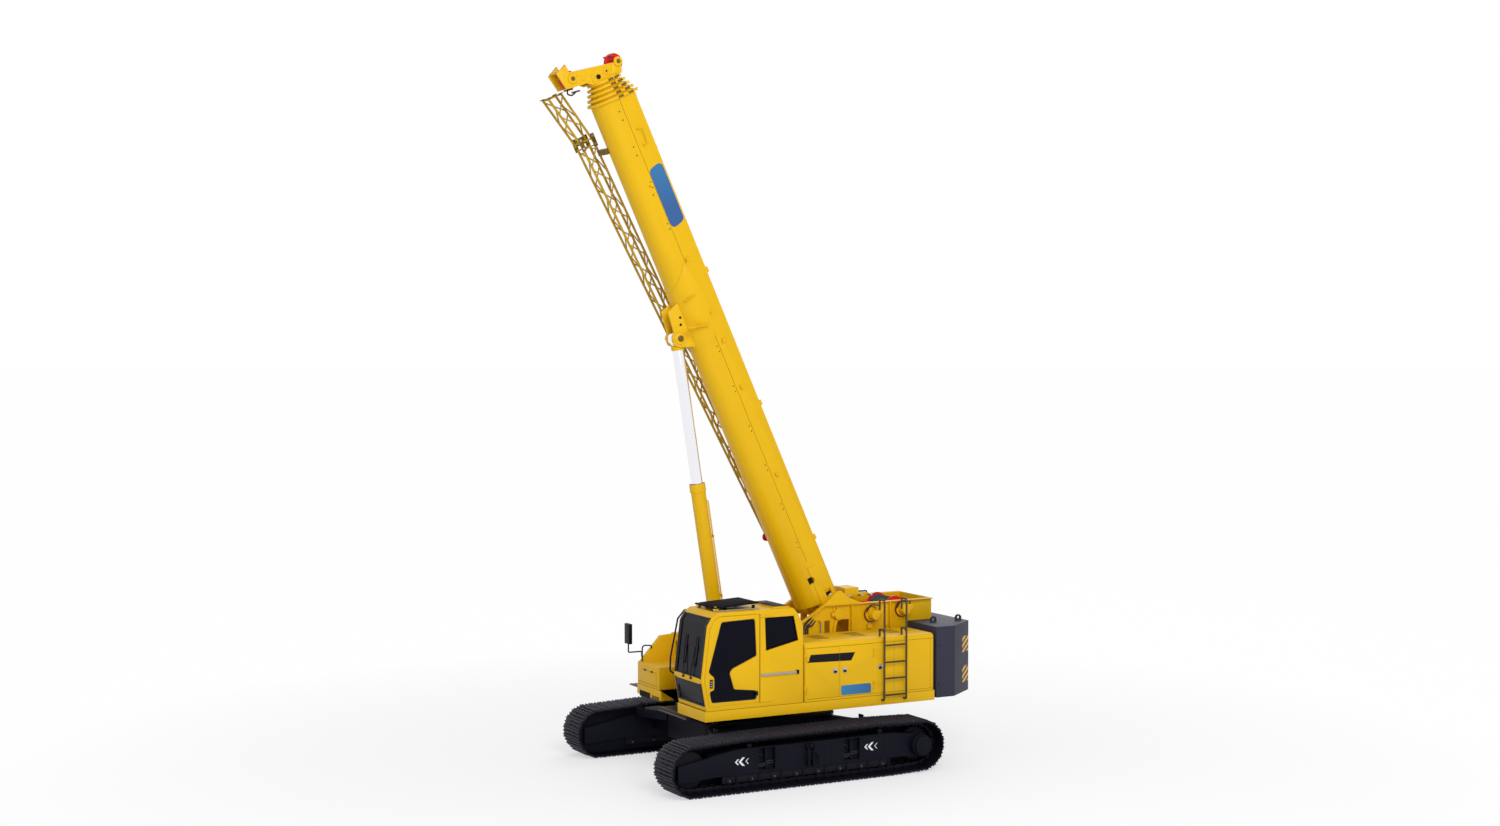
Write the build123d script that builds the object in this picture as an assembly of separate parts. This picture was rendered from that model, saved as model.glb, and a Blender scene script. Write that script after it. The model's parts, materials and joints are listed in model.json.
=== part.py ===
from build123d import *
import math
import os

# Telescopic-boom crawler crane, millimetres.
# Origin on the ground under the slewing axis, +X forward along the boom, +Y to the machine's left, +Z up.

os.makedirs("parts", exist_ok=True)

# ---- crawler tracks -------------------------------------------------------------------------------
track_gauge = 3540.0
shoe_width = 650.0
shoe_count = 66
shoe_plate = 22.0
grouser_height = 24.0
grouser_width = 16.0
chain_width = 190.0
chain_height = 84.0
idler_x, idler_z, idler_reach = 2085.0, 415.0, 415.0
sprocket_x, sprocket_z, sprocket_reach = -2078.0, 440.0, 420.0
# top rollers that lift the upper run: x, height of the run's outer face
run_crests = ((1050.0, 868.0), (-1350.0, 884.0))
ground_front_x, ground_rear_x = idler_x, -1500.0
idler_hub_radius, drive_hub_radius, carrier_radius = 72.0, 150.0, 24.0
seat_gap = 0.3
chord_step = 12.0

# ---- track frames and carbody ---------------------------------------------------------------------
frame_bottom, frame_top = 275.0, 676.0
frame_width = 400.0
wheel_gap = 30.0
fork_reach = 235.0
fork_plate = 46.0
pocket_length, pocket_height, pocket_depth = 300.0, 350.0, 90.0
pocket_x = (765.0, -790.0)
roller_radius, roller_count, roller_pitch, roller_first_x = 62.0, 8, 400.0, 1420.0
carbody_half_length, carbody_half_width = 1200.0, 780.0
carbody_bottom, carbody_top = 430.0, 850.0
beam_length, beam_bottom, beam_top = 420.0, 400.0, 730.0
beam_x = (830.0, -830.0)
ring_radius, ring_bore = 720.0, 560.0
ring_top = 1000.0
tie_down_x, tie_down_z, tie_down_bore = 1345.0, 862.0, 22.0
lug_half_width, lug_plate, lug_clearance = 60.0, 30.0, 40.0

# ---- superstructure -------------------------------------------------------------------------------
deck_bottom, deck_top = 1045.0, 1215.0
deck_plate = 40.0
skirt_plate = 12.0
deck_rear_x, deck_front_x = -2700.0, 1120.0
side_y = 1475.0
cab_front_x = 1600.0
cab_inner_y = 500.0
module_front_x = 1385.0
module_inner_y = -560.0
module_top, wedge_plate = 1590.0, 75.0
hood_right_front_x, hood_right_top = 740.0, 2040.0
hood_front_x, hood_top, hood_inner_y = -195.0, 2170.0, 640.0
hood_wall = 40.0
hood_edge = 60.0
ladder_x = (-1667.0, -2093.0)
door_front_x, door_split_x, door_rear_x = -240.0, -860.0, -1500.0
door_bottom, door_top = 1250.0, 2080.0
door_gap = 6.0
knuckle_radius, knuckle_length, knuckle_gap = 11.0, 60.0, 2.0
knuckle_z = (1400.0, 1930.0)
turret_y, turret_plate = 500.0, 30.0
turret_top, turret_rear_x = 2615.0, -3270.0
pivot_x, pivot_z = -1400.0, 2450.0
pivot_radius = 70.0
turret_floor, notch_floor = 1900.0, 2150.0
turret_flange = 60.0
turret_rib_x = (-1650.0, -2410.0)
foot_cheek = 18.0

# ---- cab ------------------------------------------------------------------------------------------
cab_wall = 50.0
cab_rear_x = -170.0
cab_roof_z = 2755.0
cab_outer_y = 1475.0
# the cab's front line from the deck to the roof: x, z
CAB_FRONT = ((1575.0, deck_top), (1665.0, 1710.0), (1560.0, 2560.0), (1480.0, 2685.0), (1370.0, cab_roof_z))
cab_door_rear_x = 620.0
glass_thickness = 8.0
pane_gap = 0.3
cab_post = 70.0
back_window_z = (1900.0, 2440.0)
screen_z, lower_screen_z = (1740.0, 2665.0), (1300.0, 1640.0)
guard_x, guard_y, guard_plate = (560.0, 1355.0), (630.0, 1325.0), 20.0

# ---- counterweight --------------------------------------------------------------------------------
weight_front_x, weight_rear_x = -2735.0, -3670.0
weight_bottom, weight_top = 1075.0, 2262.0
weight_chamfer_x, weight_chamfer_y = 576.0, 430.0
eye_x, eye_y, eye_bore, eye_outer, eye_plate = (-3000.0, -3506.0), 970.0, 28.0, 60.0, 36.0

# ---- boom -----------------------------------------------------------------------------------------
boom_angle = 65.5
boom_wall = 10.0
section_step = 30.0
boom_top_v, boom_arc_v = 220.0, -120.0
boom_half_width = 310.0
base_length = 9330.0
section_count = 5
collar_thickness = 40.0
collar_pitch = 75.0
collar_proud = 45.0
section_foot_step = 110.0
foot_ring = 60.0
head_half_width = 150.0
sheave_radius, sheave_pin = 145.0, 36.0
# place of each head sheave: distance ahead of the last collar, height over the boom's axis
HEAD_SHEAVES = {"head_sheave_rear": (185.0, 205.0), "head_sheave_front": (215.0, -640.0)}

# ---- luffing cylinder -----------------------------------------------------------------------------
luff_u, luff_v = 5350.0, -600.0
cylinder_foot_x, cylinder_foot_z = 480.0, 1450.0
rod_radius, barrel_radius, barrel_bore, collar_radius = 97.0, 122.0, 106.0, 133.0
barrel_length = 3280.0
rod_length = 3350.0
eye_radius, eye_width = 125.0, 150.0

WHEEL_SIDES = (("left", 1.0), ("right", -1.0))


def save(name, shape):
    export_step(shape, f"parts/{name}.step")


def block(x0, x1, y0, y1, z0, z1):
    size = (abs(x1 - x0), abs(y1 - y0), abs(z1 - z0))
    centre = ((x0 + x1) / 2, (y0 + y1) / 2, (z0 + z1) / 2)
    return Pos(*centre) * Box(*size)


def prism_y(points, y0, y1):
    """Solid from an outline in X and Z, between two Y planes."""
    face = make_face(Polyline(*[(x, 0, z) for x, z in points], close=True))
    solid = extrude(face, amount=abs(y1 - y0), dir=(0, 1, 0))
    return Pos(0, min(y0, y1), 0) * solid


def prism_z(points, z0, z1):
    """Solid from an outline in X and Y, between two Z planes."""
    face = make_face(Polyline(*[(x, y, 0) for x, y in points], close=True))
    return Pos(0, 0, z0) * extrude(face, amount=z1 - z0, dir=(0, 0, 1))


def inset(outline, distance):
    """Outline moved inwards, each corner along both of its sides."""
    turn = sum(a[0] * b[1] - b[0] * a[1] for a, b in zip(outline, outline[1:] + outline[:1]))
    way = distance if turn > 0 else -distance
    moved = []
    for before, here, after in zip(outline[-1:] + outline[:-1], outline, outline[1:] + outline[:1]):
        a, b = math.dist(before, here), math.dist(here, after)
        n1 = ((before[1] - here[1]) / a, (here[0] - before[0]) / a)
        n2 = ((here[1] - after[1]) / b, (after[0] - here[0]) / b)
        share = way / (1 + n1[0] * n2[0] + n1[1] * n2[1])
        moved.append((here[0] + (n1[0] + n2[0]) * share, here[1] + (n1[1] + n2[1]) * share))
    return tuple(moved)


def rod_y(x, z, y0, y1, radius):
    return Pos(x, (y0 + y1) / 2, z) * Rot(90, 0, 0) * Cylinder(radius, abs(y1 - y0))


def bar(start, end, radius):
    """Round bar between two points."""
    a, b = Vector(*start), Vector(*end)
    axis = b - a
    plane = Plane(origin=a, z_dir=axis)
    return plane * Pos(0, 0, axis.length / 2) * Cylinder(radius, axis.length)


def strut(start, end, radius, sides=6):
    """Many-sided bar between two points, its flats at the radius, which joins its neighbours cleanly."""
    a, b = Vector(*start), Vector(*end)
    axis = b - a
    outline = RegularPolygon(radius / math.cos(math.pi / sides), sides)
    return Plane(origin=a, z_dir=axis) * extrude(outline, amount=axis.length)


def pipe(points, radius, bend):
    """Bent round tube through a list of corner points."""
    path = FilletPolyline(*points, radius=bend) if len(points) > 2 else Line(*points)
    start = Plane(origin=path @ 0, z_dir=path % 0)
    return sweep(start * Circle(radius), path=path)


def boom_place(shape):
    """From the boom's own frame, along X with its top plate up, to its place on the pivot."""
    return Pos(pivot_x, 0, pivot_z) * Rot(0, -boom_angle, 0) * shape


def boom_point(u, v):
    a = math.radians(boom_angle)
    return (pivot_x + u * math.cos(a) - v * math.sin(a), pivot_z + u * math.sin(a) + v * math.cos(a))


# ---- track loop -----------------------------------------------------------------------------------
def belt_points(offset):
    """Corner points of the loop's path, inset from its outer face, with arcs as short chords."""
    circles = ((idler_x, idler_z, idler_reach - offset), (run_crests[0][0], run_crests[0][1] - 200.0, 200.0 - offset),
               (run_crests[1][0], run_crests[1][1] - 200.0, 200.0 - offset),
               (sprocket_x, sprocket_z, sprocket_reach - offset), (ground_rear_x, 200.0, 200.0 - offset))
    points = []
    for i, (x0, z0, r0) in enumerate(circles):
        arrive = tangent_angle(circles[i - 1], circles[i])
        leave = tangent_angle(circles[i], circles[(i + 1) % len(circles)])
        turn = (leave - arrive) % (2 * math.pi)
        steps = max(1, round(turn / math.radians(chord_step)))
        for k in range(steps + 1):
            a = arrive + turn * k / steps
            points.append((x0 + r0 * math.cos(a), z0 + r0 * math.sin(a)))
    return points


def tangent_angle(first, second):
    """Direction from each centre to the outer tangent line, going round counter-clockwise."""
    dx, dz = second[0] - first[0], second[1] - first[1]
    distance = math.hypot(dx, dz)
    return math.atan2(dz, dx) - math.acos((first[2] - second[2]) / distance)


def along(points, distance):
    """Point and heading at a distance along a closed path."""
    n = len(points)
    for i in range(n):
        a, b = points[i], points[(i + 1) % n]
        length = math.dist(a, b)
        if distance <= length and length > 0:
            t = distance / length
            heading = ((b[0] - a[0]) / length, (b[1] - a[1]) / length)
            return (a[0] + (b[0] - a[0]) * t, a[1] + (b[1] - a[1]) * t), heading
        distance -= length
    return points[0], (1.0, 0.0)


def track(side):
    """One closed loop: shoes with two grousers each in its outline, over the chain's smooth ring."""
    plate_line = belt_points(grouser_height)
    perimeter = sum(math.dist(plate_line[i - 1], plate_line[i]) for i in range(len(plate_line)))
    outline = []
    ridge_pitch = perimeter / (2 * shoe_count)
    profile = ((-0.5 * grouser_width, 0.0), (-0.3 * grouser_width, grouser_height),
               (0.3 * grouser_width, grouser_height), (0.5 * grouser_width, 0.0))
    for k in range(2 * shoe_count):
        for shift, height in profile:
            (x, z), (hx, hz) = along(plate_line, ((k + 0.5) * ridge_pitch + shift) % perimeter)
            outline.append((x + hz * height, z - hx * height))
    y = side * track_gauge / 2
    inner = belt_points(grouser_height + shoe_plate)
    chain_in = belt_points(grouser_height + shoe_plate + chain_height)
    shoes = prism_y(outline, y - shoe_width / 2, y + shoe_width / 2) - prism_y(
        inner, y - shoe_width, y + shoe_width)
    overlap = belt_points(grouser_height + shoe_plate / 2)
    chain = prism_y(overlap, y - chain_width / 2, y + chain_width / 2) - prism_y(
        chain_in, y - chain_width, y + chain_width)
    return shoes + chain


# ---- undercarriage --------------------------------------------------------------------------------
def track_frame(side):
    """Box frame between the runs, with pockets in its outer face, a middle bracket and end forks."""
    y = side * track_gauge / 2
    outer, inner = y + side * frame_width / 2, y - side * frame_width / 2
    low, high = frame_bottom, frame_top
    front = idler_x - wheel_radius(idler_reach) - wheel_gap
    rear = sprocket_x + wheel_radius(sprocket_reach) + wheel_gap
    shape = prism_y(((rear, low), (front, low), (front, high - 75), (front - 470, high), (rear + 210, high),
                     (rear, high - 25)), outer, inner)
    for x in pocket_x:
        middle = (low + high) / 2 + 10
        shape -= block(x - pocket_length / 2, x + pocket_length / 2, outer + side, outer - side * pocket_depth,
                       middle - pocket_height / 2, middle + pocket_height / 2)
    nose, root = idler_x + fork_reach, front - 40
    front_fork = ((root, low), (nose, low - 40), (nose, 500), (root + 60, high - 86), (root, high - 80))
    root = rear + 40
    rear_fork = ((root, low), (root, high - 30), (sprocket_x - 60, sprocket_z + 190),
                 (sprocket_x - 190, sprocket_z), (sprocket_x - 60, sprocket_z - 190))
    for fork in (front_fork, rear_fork):
        for face in (outer, inner + side * fork_plate):
            shape += prism_y(fork, face - side * fork_plate, face)
    for dx in (-45.0, 45.0):
        shape += prism_y(((dx - 12, low + 20), (dx + 12, low + 20), (dx + 12, high - 20), (dx - 12, high - 20)),
                         outer - side, outer + side * 75)
    shape += block(-75, 75, outer - side, outer + side * 30, low + 120, high - 120)
    return shape


def wheel_radius(reach):
    """Largest round wheel inside the loop's chain, whose arcs are short chords."""
    inner = reach - grouser_height - shoe_plate - chain_height
    return inner * math.cos(math.radians(chord_step * 0.55)) - seat_gap


def idlers():
    solids = []
    half = frame_width / 2 - fork_plate
    for _, side in WHEEL_SIDES:
        y = side * track_gauge / 2
        wheel = rod_y(idler_x, idler_z, y - 95, y + 95, wheel_radius(idler_reach))
        wheel += rod_y(idler_x, idler_z, y - half, y + half, idler_hub_radius)
        solids.append(wheel)
    return Compound(solids)


def sprockets():
    """Drive wheels with their geared hubs, proud of each track frame's outer face."""
    solids = []
    half = frame_width / 2 - fork_plate
    for _, side in WHEEL_SIDES:
        y = side * track_gauge / 2
        face = y + side * frame_width / 2
        wheel = rod_y(sprocket_x, sprocket_z, y - 35, y + 35, wheel_radius(sprocket_reach))
        wheel += rod_y(sprocket_x, sprocket_z, y - half, y + half, drive_hub_radius)
        solids.append(wheel)
        solids.append(rod_y(sprocket_x, sprocket_z, face, face + side * 105, 186)
                      + rod_y(sprocket_x, sprocket_z, face + side * 100, face + side * 150, 158))
    return Compound(solids)


def bottom_rollers():
    """Rollers under each frame, joined by the roller rails that carry their ends."""
    solids = []
    roller_z = grouser_height + shoe_plate + chain_height + roller_radius + seat_gap
    for _, side in WHEEL_SIDES:
        y = side * track_gauge / 2
        rail = None
        for face in (y + 150, y - 150):
            plate = block(roller_first_x - roller_pitch * (roller_count - 1) - 120, roller_first_x + 120,
                          face - 14, face + 14, roller_z - 40, frame_bottom)
            rail = plate if rail is None else rail + plate
        for i in range(roller_count):
            x = roller_first_x - i * roller_pitch
            rail += rod_y(x, roller_z, y - 190, y + 190, 38)
            rail += rod_y(x, roller_z, y - 120, y + 120, roller_radius)
        solids.append(rail)
    return Compound(solids)


def carrier_rollers():
    """Top rollers on brackets that stand on each frame."""
    solids = []
    for _, side in WHEEL_SIDES:
        y = side * track_gauge / 2
        for x, crest in run_crests:
            z = crest - grouser_height - shoe_plate - chain_height - seat_gap - carrier_radius
            roller = rod_y(x, z, y - 105, y + 105, carrier_radius) + rod_y(x, z, y - 150, y + 150, 18)
            for face in (y - 128, y + 128):
                roller += block(x - 40, x + 40, face - 22, face + 22, frame_top, z + 22)
            solids.append(roller)
    return Compound(solids)


def carbody():
    """Centre box with two cross beams that reach the track frames, and the ring's seat."""
    shape = block(-carbody_half_length, carbody_half_length, -carbody_half_width, carbody_half_width,
                  carbody_bottom, carbody_top)
    shape = fillet(shape.edges().filter_by(Axis.Z), 160)
    reach = track_gauge / 2 - frame_width / 2
    arm_end = track_inner_y() - 15
    for x in beam_x:
        shape += block(x - beam_length / 2, x + beam_length / 2, -reach, reach, beam_bottom, beam_top)
    for x in (1, -1):
        for y in (1, -1):
            shape += prism_z(((x * 620, y * 760), (x * 1180, y * 760), (x * 1430, y * arm_end), (x * 1040, y * arm_end)),
                             beam_top - 60, carbody_top - 40)
    return shape


def track_inner_y():
    return track_gauge / 2 - shoe_width / 2


def tie_down_lugs():
    """Upright lugs on the carbody's arms, bored along X, clear of the tracks beside them."""
    solids = []
    middle = track_inner_y() - lug_clearance - lug_half_width
    for x in (tie_down_x, -tie_down_x):
        for side in (1, -1):
            y = side * middle
            lug = block(x - lug_plate / 2, x + lug_plate / 2, y - lug_half_width, y + lug_half_width,
                        carbody_top - 40, tie_down_z + 38)
            solids.append(lug - Pos(x, y, tie_down_z) * Rot(0, 90, 0) * Cylinder(tie_down_bore, 2 * lug_plate))
    return Compound(solids)


def slew_ring():
    ring = Pos(0, 0, (carbody_top + ring_top) / 2) * (
        Cylinder(ring_radius, ring_top - carbody_top) - Cylinder(ring_bore, ring_top - carbody_top + 2))
    return ring


# ---- superstructure -------------------------------------------------------------------------------
def deck_outline(inset=0.0):
    s = side_y - inset
    return ((deck_rear_x + inset, -s), (module_front_x - inset, -s), (module_front_x - inset, module_inner_y - inset),
            (deck_front_x - inset, module_inner_y - inset), (deck_front_x - inset, cab_inner_y + inset),
            (cab_front_x - inset, cab_inner_y + inset), (cab_front_x - inset, s), (deck_rear_x + inset, s))


def deck():
    """Slewing platform: floor plate with a raised skirt, and a round seat down to the slewing ring."""
    shape = prism_z(deck_outline(), deck_bottom, deck_top)
    shape -= prism_z(deck_outline(skirt_plate), deck_bottom + deck_plate, deck_top + 1)
    seat = Pos(0, 0, (ring_top + seat_gap + deck_bottom) / 2) * Cylinder(
        ring_radius - 40, deck_bottom - ring_top - seat_gap)
    return shape + seat


def turret_rear():
    """Rear edge of the turret's deep part, seated on the deck inside its skirt."""
    return deck_rear_x + skirt_plate + 5


def turret_side(side):
    """One tall side plate with its edge flanges, ribs, windows and the boom pin's boss."""
    floor = deck_bottom + deck_plate
    rear_x = turret_rear()
    slope = ((-680, 2350), (-1120, turret_top))
    outline = slope + ((turret_rear_x, turret_top), (turret_rear_x, notch_floor + seat_gap),
                       (rear_x, notch_floor + seat_gap), (rear_x, floor), (700, floor), (700, 1500), (300, 1600),
                       (-680, 2100))
    ear = ((-1120, 2600), (-1400, 2830), (-1470, 2830), (-1650, 2700), (-1900, 2600))
    y0, y1 = side * turret_y, side * (turret_y - turret_plate)
    shape = prism_y(outline, y0, y1) + prism_y(ear, y0, y1)
    proud = side * (turret_y + turret_flange)
    shape += block(turret_rear_x, slope[1][0], y0, proud, turret_top - 12, turret_top)
    shape += prism_y(slope + ((-1120, turret_top - 14), (-680, 2336)), y0, proud)
    for x in turret_rib_x:
        shape += block(x - 10, x + 10, y0, proud, hood_top + 5, turret_top)
    for x0, x1 in ((-1250, -1140), (-1625, -1370)):
        shape -= block(x0, x1, y0 + side, y1 - side, 2060, 2350)
    shape += rod_y(pivot_x, pivot_z, y1, side * (boom_half_width + foot_cheek + 6), 130)
    shape -= rod_y(pivot_x, pivot_z, side * 300, side * 700, pivot_radius)
    for _, x, z, _ in WINCHES:
        shape -= rod_y(x, z, side * 300, side * 700, winch_shaft_radius + seat_gap)
    return shape


def turret_frame():
    """What ties the side plates together: cross plates, rope guard, boom pin and cylinder foot lugs."""
    rear_x = turret_rear()
    floor = deck_bottom + deck_plate
    inner = turret_y - turret_plate
    back = block(turret_rear_x, turret_rear_x + 20, -inner, inner, notch_floor + seat_gap, turret_top)
    shelf = block(rear_x, -1000, -inner, inner, turret_floor - 30, turret_floor)
    front = block(-700, -660, -inner, inner, floor, 1850)
    guard = block(-1771, -1731, -inner, inner, 2600, 2655) + block(-1771, -1731, -180, 180, 2600, 2700)
    guard += block(-2203, -1731, -180, 180, 2680, 2735) + block(-2004, -1731, -180, 180, 2730, 2830)
    pin = rod_y(pivot_x, pivot_z, -turret_y - 40, turret_y + 40, pivot_radius - seat_gap)
    return Compound([back, shelf, front, guard, pin] + cylinder_foot())


def cylinder_foot():
    """Lugs each side of the cylinder's foot eye, with a stub of the pin outside each."""
    x, z = cylinder_foot_x, cylinder_foot_z
    floor = deck_bottom + deck_plate
    solids = []
    for side in (1, -1):
        inner = side * (barrel_radius + 16)
        outer = inner + side * 40
        lug = prism_y(((x - 260, floor), (x + 260, floor), (x + 110, z + 110), (x - 110, z + 110)), inner, outer)
        solids.append(lug + rod_y(x, z, outer, outer + side * 30, 75))
    return solids


def power_unit():
    return block(-2300, -1000, -1300, -700, deck_bottom + deck_plate, 1950)


def hood_left():
    """Side housing behind the cab: a shell with two door openings and its halves of their hinges."""
    x0, x1 = deck_rear_x, hood_front_x
    outer = block(x0, x1, hood_inner_y, side_y, deck_top, hood_top)
    side_face = outer.faces().sort_by(Axis.Y)[-1]
    rounded = side_face.edges().filter_by(Axis.X).sort_by(Axis.Z)[-1:]
    rounded += side_face.edges().filter_by(Axis.Z).sort_by(Axis.X)[:1]
    rounded += outer.faces().sort_by(Axis.X)[0].edges().filter_by(Axis.Y).sort_by(Axis.Z)[-1:]
    outer = fillet(rounded, hood_edge)
    shape = outer - block(x0 + hood_wall, x1 - hood_wall, hood_inner_y + hood_wall, side_y - hood_wall,
                          deck_top - 1, hood_top - hood_wall)
    shape -= block(door_rear_x, door_front_x, side_y - hood_wall - 1, side_y + 1, door_bottom, door_top)
    for x, towards in ((door_front_x, 1), (door_rear_x, -1)):
        for z in knuckle_z:
            shape += knuckle(x, z + knuckle_length / 2 + knuckle_gap, towards)
    return shape


def knuckle(x, z, towards):
    """Half of a door hinge: a round barrel on the hinge's axis, with a strap to the panel's face."""
    axis_y = side_y + knuckle_radius + knuckle_gap
    half = knuckle_length / 2
    strap = block(x + towards * door_gap, x + towards * 40, side_y, side_y + 5, z - half, z + half)
    strap += block(x, x + towards * 12, side_y + 2, side_y + 5, z - half, z + half)
    return strap + Pos(x, axis_y, z) * Cylinder(knuckle_radius, 2 * half)


def service_door(front_x, rear_x, hinge_x, towards):
    """Leaf in the hood's opening, close to the jamb on its hinge side."""
    g = door_gap
    shape = block(rear_x, front_x, side_y - hood_wall + 5, side_y, door_bottom + g, door_top - g)
    for z in knuckle_z:
        shape += knuckle(hinge_x, z - knuckle_length / 2 - knuckle_gap, towards)
    return shape


def door_latch(x):
    return block(x - 35, x + 35, side_y, side_y + 14, 1640, 1730)


def hood_right():
    """Right housing: a tall closed shell, a low box ahead of it, and a sloped wedge at its outer side."""
    x0, x1, front = deck_rear_x, hood_right_front_x, module_front_x - 10
    outer_y, inner_y = -side_y, module_inner_y - 80
    outline = ((x0, deck_top), (front, deck_top), (front, module_top), (x1, module_top), (x1, hood_right_top),
               (x0, hood_right_top))
    hollow = ((x0 + hood_wall, deck_top - 1), (front - hood_wall, deck_top - 1),
              (front - hood_wall, module_top - hood_wall), (x1 - hood_wall, module_top - hood_wall),
              (x1 - hood_wall, hood_right_top - hood_wall), (x0 + hood_wall, hood_right_top - hood_wall))
    shape = prism_y(outline, outer_y, inner_y) - prism_y(hollow, outer_y + hood_wall, inner_y - hood_wall)
    wedge = ((x1 - 1, module_top - 1), (front - 25, module_top - 1), (975, 2005), (x1 - 1, 2020))
    return shape + prism_y(wedge, outer_y, outer_y + wedge_plate)


def step_plate():
    """Step in front of the cylinder on two hangers, and a folding step on the right side."""
    shape = block(1150, 1500, -430, 600, 960, 985)
    for y in (-350, 440):
        shape += block(deck_front_x - 100, 1200, y - 25, y + 25, 985, deck_bottom)
    side_step = block(1060, 1270, -side_y, -side_y - 560, 1095, 1112)
    side_step += block(1150, 1180, -side_y, -side_y - 300, 1060, 1096)
    return Compound([shape, side_step])


def counterweight():
    """Cast block with chamfered rear corners and four lifting eyes."""
    x0, x1 = weight_front_x, weight_rear_x
    c, d = weight_chamfer_x, weight_chamfer_y
    notch = turret_y + 70
    s = side_y
    shape = prism_z(((x0, -s), (x0, s), (x1 + c, s), (x1, s - d), (x1, -s + d), (x1 + c, -s)),
                    weight_bottom, weight_top)
    shape -= block(x0 + 1, turret_rear_x - 20, -notch, notch, notch_floor, weight_top + 1)
    for x in eye_x:
        for y in (eye_y, -eye_y):
            near, far = y - eye_plate / 2, y + eye_plate / 2
            eye = rod_y(x, weight_top + eye_outer - 15, near, far, eye_outer)
            eye += block(x - eye_outer, x + eye_outer, near, far, weight_top - 5, weight_top + eye_outer - 15)
            shape += eye - rod_y(x, weight_top + eye_outer - 10, near - 10, far + 10, eye_bore)
    return shape


# ---- cab ------------------------------------------------------------------------------------------
def cab_outline():
    return ((cab_rear_x, deck_top),) + CAB_FRONT + ((10, cab_roof_z), (-90, 2640), (cab_rear_x, 2450))


def front_x(z):
    """The cab's front line at a height."""
    for (x0, z0), (x1, z1) in zip(CAB_FRONT, CAB_FRONT[1:]):
        if z0 <= z <= z1:
            return x0 + (x1 - x0) * (z - z0) / (z1 - z0)
    return CAB_FRONT[0][0]


def door_hole():
    """The door's opening, a post's width behind the cab's front line."""
    post = 50
    sill, lintel = deck_top + 60, cab_roof_z - 55
    heights = (sill, CAB_FRONT[1][1], CAB_FRONT[2][1] - 40)
    front = tuple((front_x(z) - post, z) for z in heights)
    return ((cab_door_rear_x, sill),) + front + ((1440, 2645), (1340, lintel), (cab_door_rear_x, lintel))


def door_window():
    return ((1315, 2615), (705, 2635), (674, 2029), (1106, 1855), (1159, 1795), (1079, 1534), (674, 1485),
            (674, 1330), (1490, 1335), (1530, 1527), (1444, 1549), (1444, 1738), (1545, 1826))


def inner_window():
    return ((1150, 2600), (0, 2600), (0, 1900), (1400, 1900))


def rear_window():
    return ((530, 2630), (0, 2630), (-85, 2230), (510, 2100))


def cab_shell():
    """Hollow cab: roof, floor, pillars and walls, open where the door, windows and windscreen sit."""
    shape = prism_y(cab_outline(), cab_inner_y, cab_outer_y)
    shape -= prism_y(inset(cab_outline(), cab_wall), cab_inner_y + cab_wall, cab_outer_y - cab_wall)
    shape -= prism_y(door_hole(), cab_outer_y - cab_wall - 1, cab_outer_y + 1)
    shape -= prism_y(rear_window(), cab_outer_y - cab_wall - 1, cab_outer_y + 1)
    shape -= prism_y(inner_window(), cab_inner_y - 1, cab_inner_y + cab_wall + 1)
    for low, high in (screen_z, lower_screen_z):
        shape -= block(1300, 1800, cab_inner_y + cab_post, cab_outer_y - cab_post, low, high)
    shape -= block(-300, cab_rear_x + cab_wall + 20, cab_inner_y + 90, cab_outer_y - 90, *back_window_z)
    return shape + block(30, 330, cab_inner_y + 120, cab_outer_y - 100, cab_roof_z - 1, cab_roof_z + 25)


def cab_door():
    line = inset(door_hole(), door_gap)
    bottom = door_hole()[0][1] + seat_gap
    line = tuple((x, bottom if z < bottom + 2 * door_gap else z) for x, z in line)
    leaf = prism_y(line, cab_outer_y - cab_wall + 5, cab_outer_y)
    return leaf - prism_y(door_window(), cab_outer_y - cab_wall, cab_outer_y + 1)


def front_pane(low_z, high_z):
    """Pane that follows the cab's front line between two heights, just inside its outer face."""
    bends = [z for _, z in CAB_FRONT if low_z < z < high_z]
    heights = [low_z + pane_gap] + bends + [high_z - pane_gap]
    outer = [(front_x(z) - 12, z) for z in heights]
    inner = [(front_x(z) - 12 - glass_thickness, z) for z in reversed(heights)]
    return prism_y(outer + inner, cab_inner_y + cab_post, cab_outer_y - cab_post)


def cab_glass():
    """Windscreen, lower front pane, door and rear side panes, inner and back panes."""
    y0 = cab_outer_y - cab_wall / 2
    panes = [prism_y(outline, y0 - glass_thickness, y0) for outline in (door_window(), rear_window())]
    panes += [front_pane(*screen_z), front_pane(*lower_screen_z)]
    yi = cab_inner_y + cab_wall / 2
    panes.append(prism_y(inner_window(), yi, yi + glass_thickness))
    xr = cab_rear_x + cab_wall / 2
    panes.append(block(xr, xr + glass_thickness, cab_inner_y + 90, cab_outer_y - 90, *back_window_z))
    return Compound(panes)


def cab_seat():
    floor = deck_top + cab_wall
    seat = block(250, 750, 760, 1240, floor + 380, floor + 500)
    seat += block(180, 300, 780, 1220, floor + 480, floor + 1150)
    seat += block(350, 650, 860, 1140, floor, floor + 385)
    return seat


def cab_console():
    floor = deck_top + cab_wall
    shape = block(1250, 1400, 700, 1300, floor, floor + 120) + block(1300, 1380, 960, 1040, floor + 100, floor + 750)
    return shape


def cab_roof_guard():
    """Sloped guard panel on four posts over the roof window."""
    rear_z, front_z = cab_roof_z + 113, cab_roof_z + 69
    x0, x1 = guard_x
    y0, y1 = guard_y
    guard_line = ((x0, rear_z), (x1, front_z), (x1, front_z - guard_plate), (x0, rear_z - guard_plate))
    shape = prism_y(guard_line, y0, y1)
    for x in (x0 + 80, x1 - 205):
        for y in (y0 + 40, y1 - 40):
            shape += block(x - 20, x + 20, y - 20, y + 20, cab_roof_z, front_z - 2)
    return shape


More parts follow.
